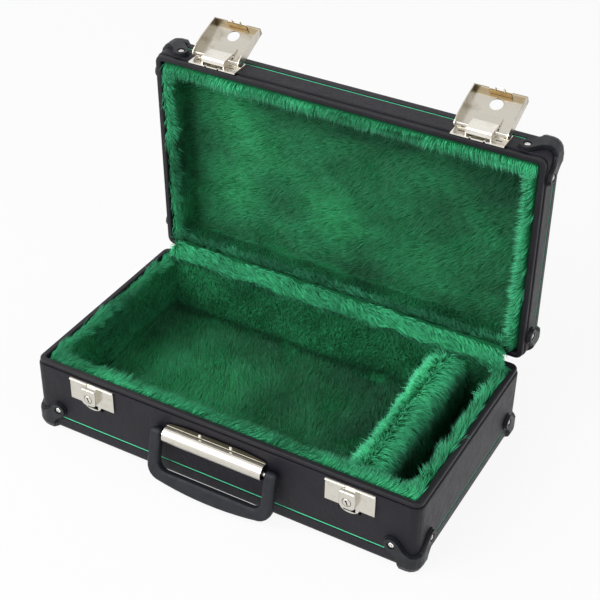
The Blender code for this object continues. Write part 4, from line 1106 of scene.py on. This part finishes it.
@dataclass
class Protectors:
    """Moulded corners of one tray, whose rivets get bright heads."""

    tray: str
    closed_side: float
    inwards: int
    turn: Matrix
    rivet: float = 0.0236
    seat: float = 0.0019

    def spots(self, side: int, end: float, back: int) -> list[tuple[Vector, Vector]]:
        """The middle and outward direction of the two of a corner's rivets that show."""
        x = side * (HALF_WIDTH - self.rivet)
        y = end + back * self.rivet
        z = self.closed_side + self.inwards * self.rivet
        return [
            (Vector((x, end - back * self.seat, z)), Vector((0.0, -back, 0.0))),
            (Vector((side * (HALF_WIDTH + self.seat), y, z)), Vector((side, 0.0, 0.0))),
        ]

    def build(self, wardrobe: Wardrobe) -> None:
        """Lay a head over each of the rivets that show."""
        head = RivetHead().turn()
        for side, across in ((-1, "left"), (1, "right")):
            for end, back, along in ((FRONT, 1, "front"), (REAR, -1, "rear")):
                parts = []
                for spot, way in self.spots(side, end, back):
                    mesh = head.copy()
                    aim = Vector((0.0, 0.0, 1.0)).rotation_difference(way).to_matrix().to_4x4()
                    mesh.transform(self.turn @ Matrix.Translation(spot) @ aim)
                    parts.append(add_object("rivet", mesh))
                clear_selection()
                for part in parts:
                    part.select_set(True)
                bpy.context.view_layer.objects.active = parts[0]
                bpy.ops.object.join()
                piece = bpy.context.object
                piece.name = f"{self.tray}_rivet_heads_{along}_{across}"
                wardrobe.fit(piece, Finish.RIVET, self.tray)
                LOG.info("%s: %d faces", piece.name, len(piece.data.polygons))


class Solids:
    """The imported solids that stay, each with the finish of its slot or its own."""

    OWN = {"latch_flap_": Finish.FLAP, "latch_plate_": Finish.LATCH_PLATE,
           "latch_block_": Finish.LATCH_PLATE, "key_plug_": Finish.PLUG}
    WHOLE = {"handle_cover": Finish.COVER, "handle": Finish.GRIP}

    def finish(self, name: str, slot: str) -> Finish:
        """The finish of a node: its own, or else its slot's."""
        if name in self.WHOLE:
            return self.WHOLE[name]
        own = [finish for start, finish in self.OWN.items() if name.startswith(start)]
        return own[0] if own else Finish[slot.upper()]

    def dress(self, wardrobe: Wardrobe) -> None:
        """Give every node its material."""
        slots = {part["node"]: part["material_slot"] for part in frame["record"]["subparts"]}
        for name, item in frame["nodes"].items():
            wardrobe.dress(item, self.finish(name, slots[name]))
        LOG.info("dressed %d solids", len(frame["nodes"]))


# ---- Studio


@dataclass(frozen=True)
class Lamp:
    """A soft square lamp that looks at the case."""

    name: str
    place: Point
    size: float
    power: float
    aim: Point = (0.0, 0.0, 0.10)

    def hang(self) -> None:
        """Add the lamp."""
        data = bpy.data.lights.new(self.name, "AREA")
        data.shape = "SQUARE"
        data.size = self.size
        data.energy = self.power
        item = add_object(self.name, data)
        item.location = self.place
        way = Vector(self.aim) - Vector(self.place)
        item.rotation_euler = way.to_track_quat("-Z", "Y").to_euler()


@dataclass
class Studio:
    """White floor, pale surroundings, lamps, and the camera at the photograph's angle."""

    focal: float = 1377.9
    frame_width: float = 600.0
    azimuth: float = math.radians(28.50)
    elevation: float = math.radians(35.72)
    roll: float = math.radians(1.13)
    eye: Point = (0.5026, -0.897693, 0.8832)
    ambient: float = 0.36
    glow: float = 0.90
    floor_size: float = 12.0
    lamps: tuple[Lamp, ...] = (
        Lamp("key_lamp", (-1.35, -1.80, 1.70), 2.6, 70.0),
        Lamp("fill_lamp", (1.8, -0.7, 1.5), 1.6, 11.0),
    )

    def build(self) -> None:
        """Set up everything that isn't part of the case."""
        bpy.context.scene.view_settings.view_transform = "Standard"
        self.lay_floor()
        self.fill_world()
        for lamp in self.lamps:
            lamp.hang()
        self.set_camera()

    @staticmethod
    def seen(nodes: Nodes) -> Socket:
        """1 for rays from the camera, from gloss and through glass, else 0."""
        path = nodes.add("LightPath", {})
        first = nodes.sum(path.outputs["Is Camera Ray"], path.outputs["Is Glossy Ray"], "MAXIMUM")
        return nodes.sum(first, path.outputs["Is Transmission Ray"], "MAXIMUM")

    def lay_floor(self) -> None:
        """Add the white floor, which keeps part of the case's shadow."""
        clear_selection()
        bpy.ops.mesh.primitive_plane_add(size=self.floor_size, location=(0.0, 0.0, 0.0))
        floor = bpy.context.object
        floor.name = "floor"
        nodes = Nodes("floor")
        matt = nodes.add("BsdfDiffuse", {"Color": (0.92, 0.92, 0.92, 1.0)})
        glow = nodes.add("Emission", {"Color": WHITE, "Strength": 1.0})
        share = nodes.sum(self.seen(nodes), self.glow, "MULTIPLY")
        both = nodes.add("MixShader", {0: share, 1: matt.outputs[0], 2: glow.outputs[0]})
        nodes.add("OutputMaterial", {"Surface": both.outputs[0]})
        floor.data.materials.append(nodes.owner)

    def fill_world(self) -> None:
        """Light the case evenly from all round, before a white background."""
        nodes = Nodes("studio", worlds=True)
        level = nodes.span(self.seen(nodes), 0.0, 1.0, self.ambient, 1.0)
        back = nodes.add("Background", {"Color": WHITE, "Strength": level})
        nodes.add("OutputWorld", {"Surface": back.outputs[0]})
        bpy.context.scene.world = nodes.owner

    def set_camera(self) -> None:
        """Place the camera where the photograph was taken from."""
        az, el, roll = self.azimuth, self.elevation, self.roll
        back = Vector((math.sin(az) * math.cos(el), -math.cos(az) * math.cos(el), math.sin(el)))
        right = Vector((math.cos(az), math.sin(az), 0.0))
        up = back.cross(right)
        across = right * math.cos(roll) + up * math.sin(roll)
        over = up * math.cos(roll) - right * math.sin(roll)
        data = bpy.data.cameras.new("camera")
        data.sensor_fit = "HORIZONTAL"
        data.sensor_width = 36.0
        data.lens = self.focal / self.frame_width * data.sensor_width
        data.clip_start = 0.05
        data.clip_end = 50.0
        item = add_object("camera", data)
        turn = Matrix((across, over, back)).transposed().to_4x4()
        item.matrix_world = Matrix.Translation(self.eye) @ turn
        bpy.context.scene.camera = item


RIM_PILE = Pile(density=480_000.0, under=480_000.0, length=0.0118, width=0.00066,
                root_lean=math.radians(44.0), tip_lean=math.radians(72.0), clump=0.0048, pull=0.42,
                seed=303)
DIVIDER_PILE = Pile(density=440_000.0, under=560_000.0, length=0.0130, width=0.00068,
                    root_lean=math.radians(44.0), tip_lean=math.radians(72.0), pull=0.30,
                    seed=404)
LID_RIM_PILE = replace(RIM_PILE, length=0.0108, pull=0.10, tip_lean=math.radians(82.0))
GUSSET_PILE = Pile(density=420_000.0, under=600_000.0, length=0.0120, width=0.00070,
                   root_lean=math.radians(52.0), tip_lean=math.radians(82.0), pull=0.14, seed=505)


def thinned(pile: Pile) -> Pile:
    share = 1.0
    return replace(pile, density=pile.density * share, under=pile.under * share)


def main() -> None:
    """Dress the case, add its fur and rivets, and set up the studio."""
    logging.basicConfig(level=logging.INFO, format="%(message)s")
    wardrobe = Wardrobe()
    Studio().build()
    Solids().dress(wardrobe)
    still = Matrix.Identity(4)
    TrayFur("base_fur", "base", "base_lining", 0.0122, 0.0778, 1, base_lay, base_edge_lay,
            base_painted_light).build(wardrobe, thinned(Pile(seed=101)), thinned(RIM_PILE), still)
    TrayFur("lid_fur", "lid", "lid_lining", 0.1090, 0.0818, -1, lid_lay, lid_edge_lay,
            lid_painted_light, 3).build(wardrobe, thinned(Pile(seed=202)), thinned(LID_RIM_PILE), LID_TURN)
    Divider().build(wardrobe, thinned(DIVIDER_PILE))
    Gusset().build(wardrobe, thinned(GUSSET_PILE))
    Protectors("base", UNDERSIDE, 1, still).build(wardrobe)
    Protectors("lid", LID_TOP, -1, LID_TURN).build(wardrobe)


if __name__ == "__main__":
    main()
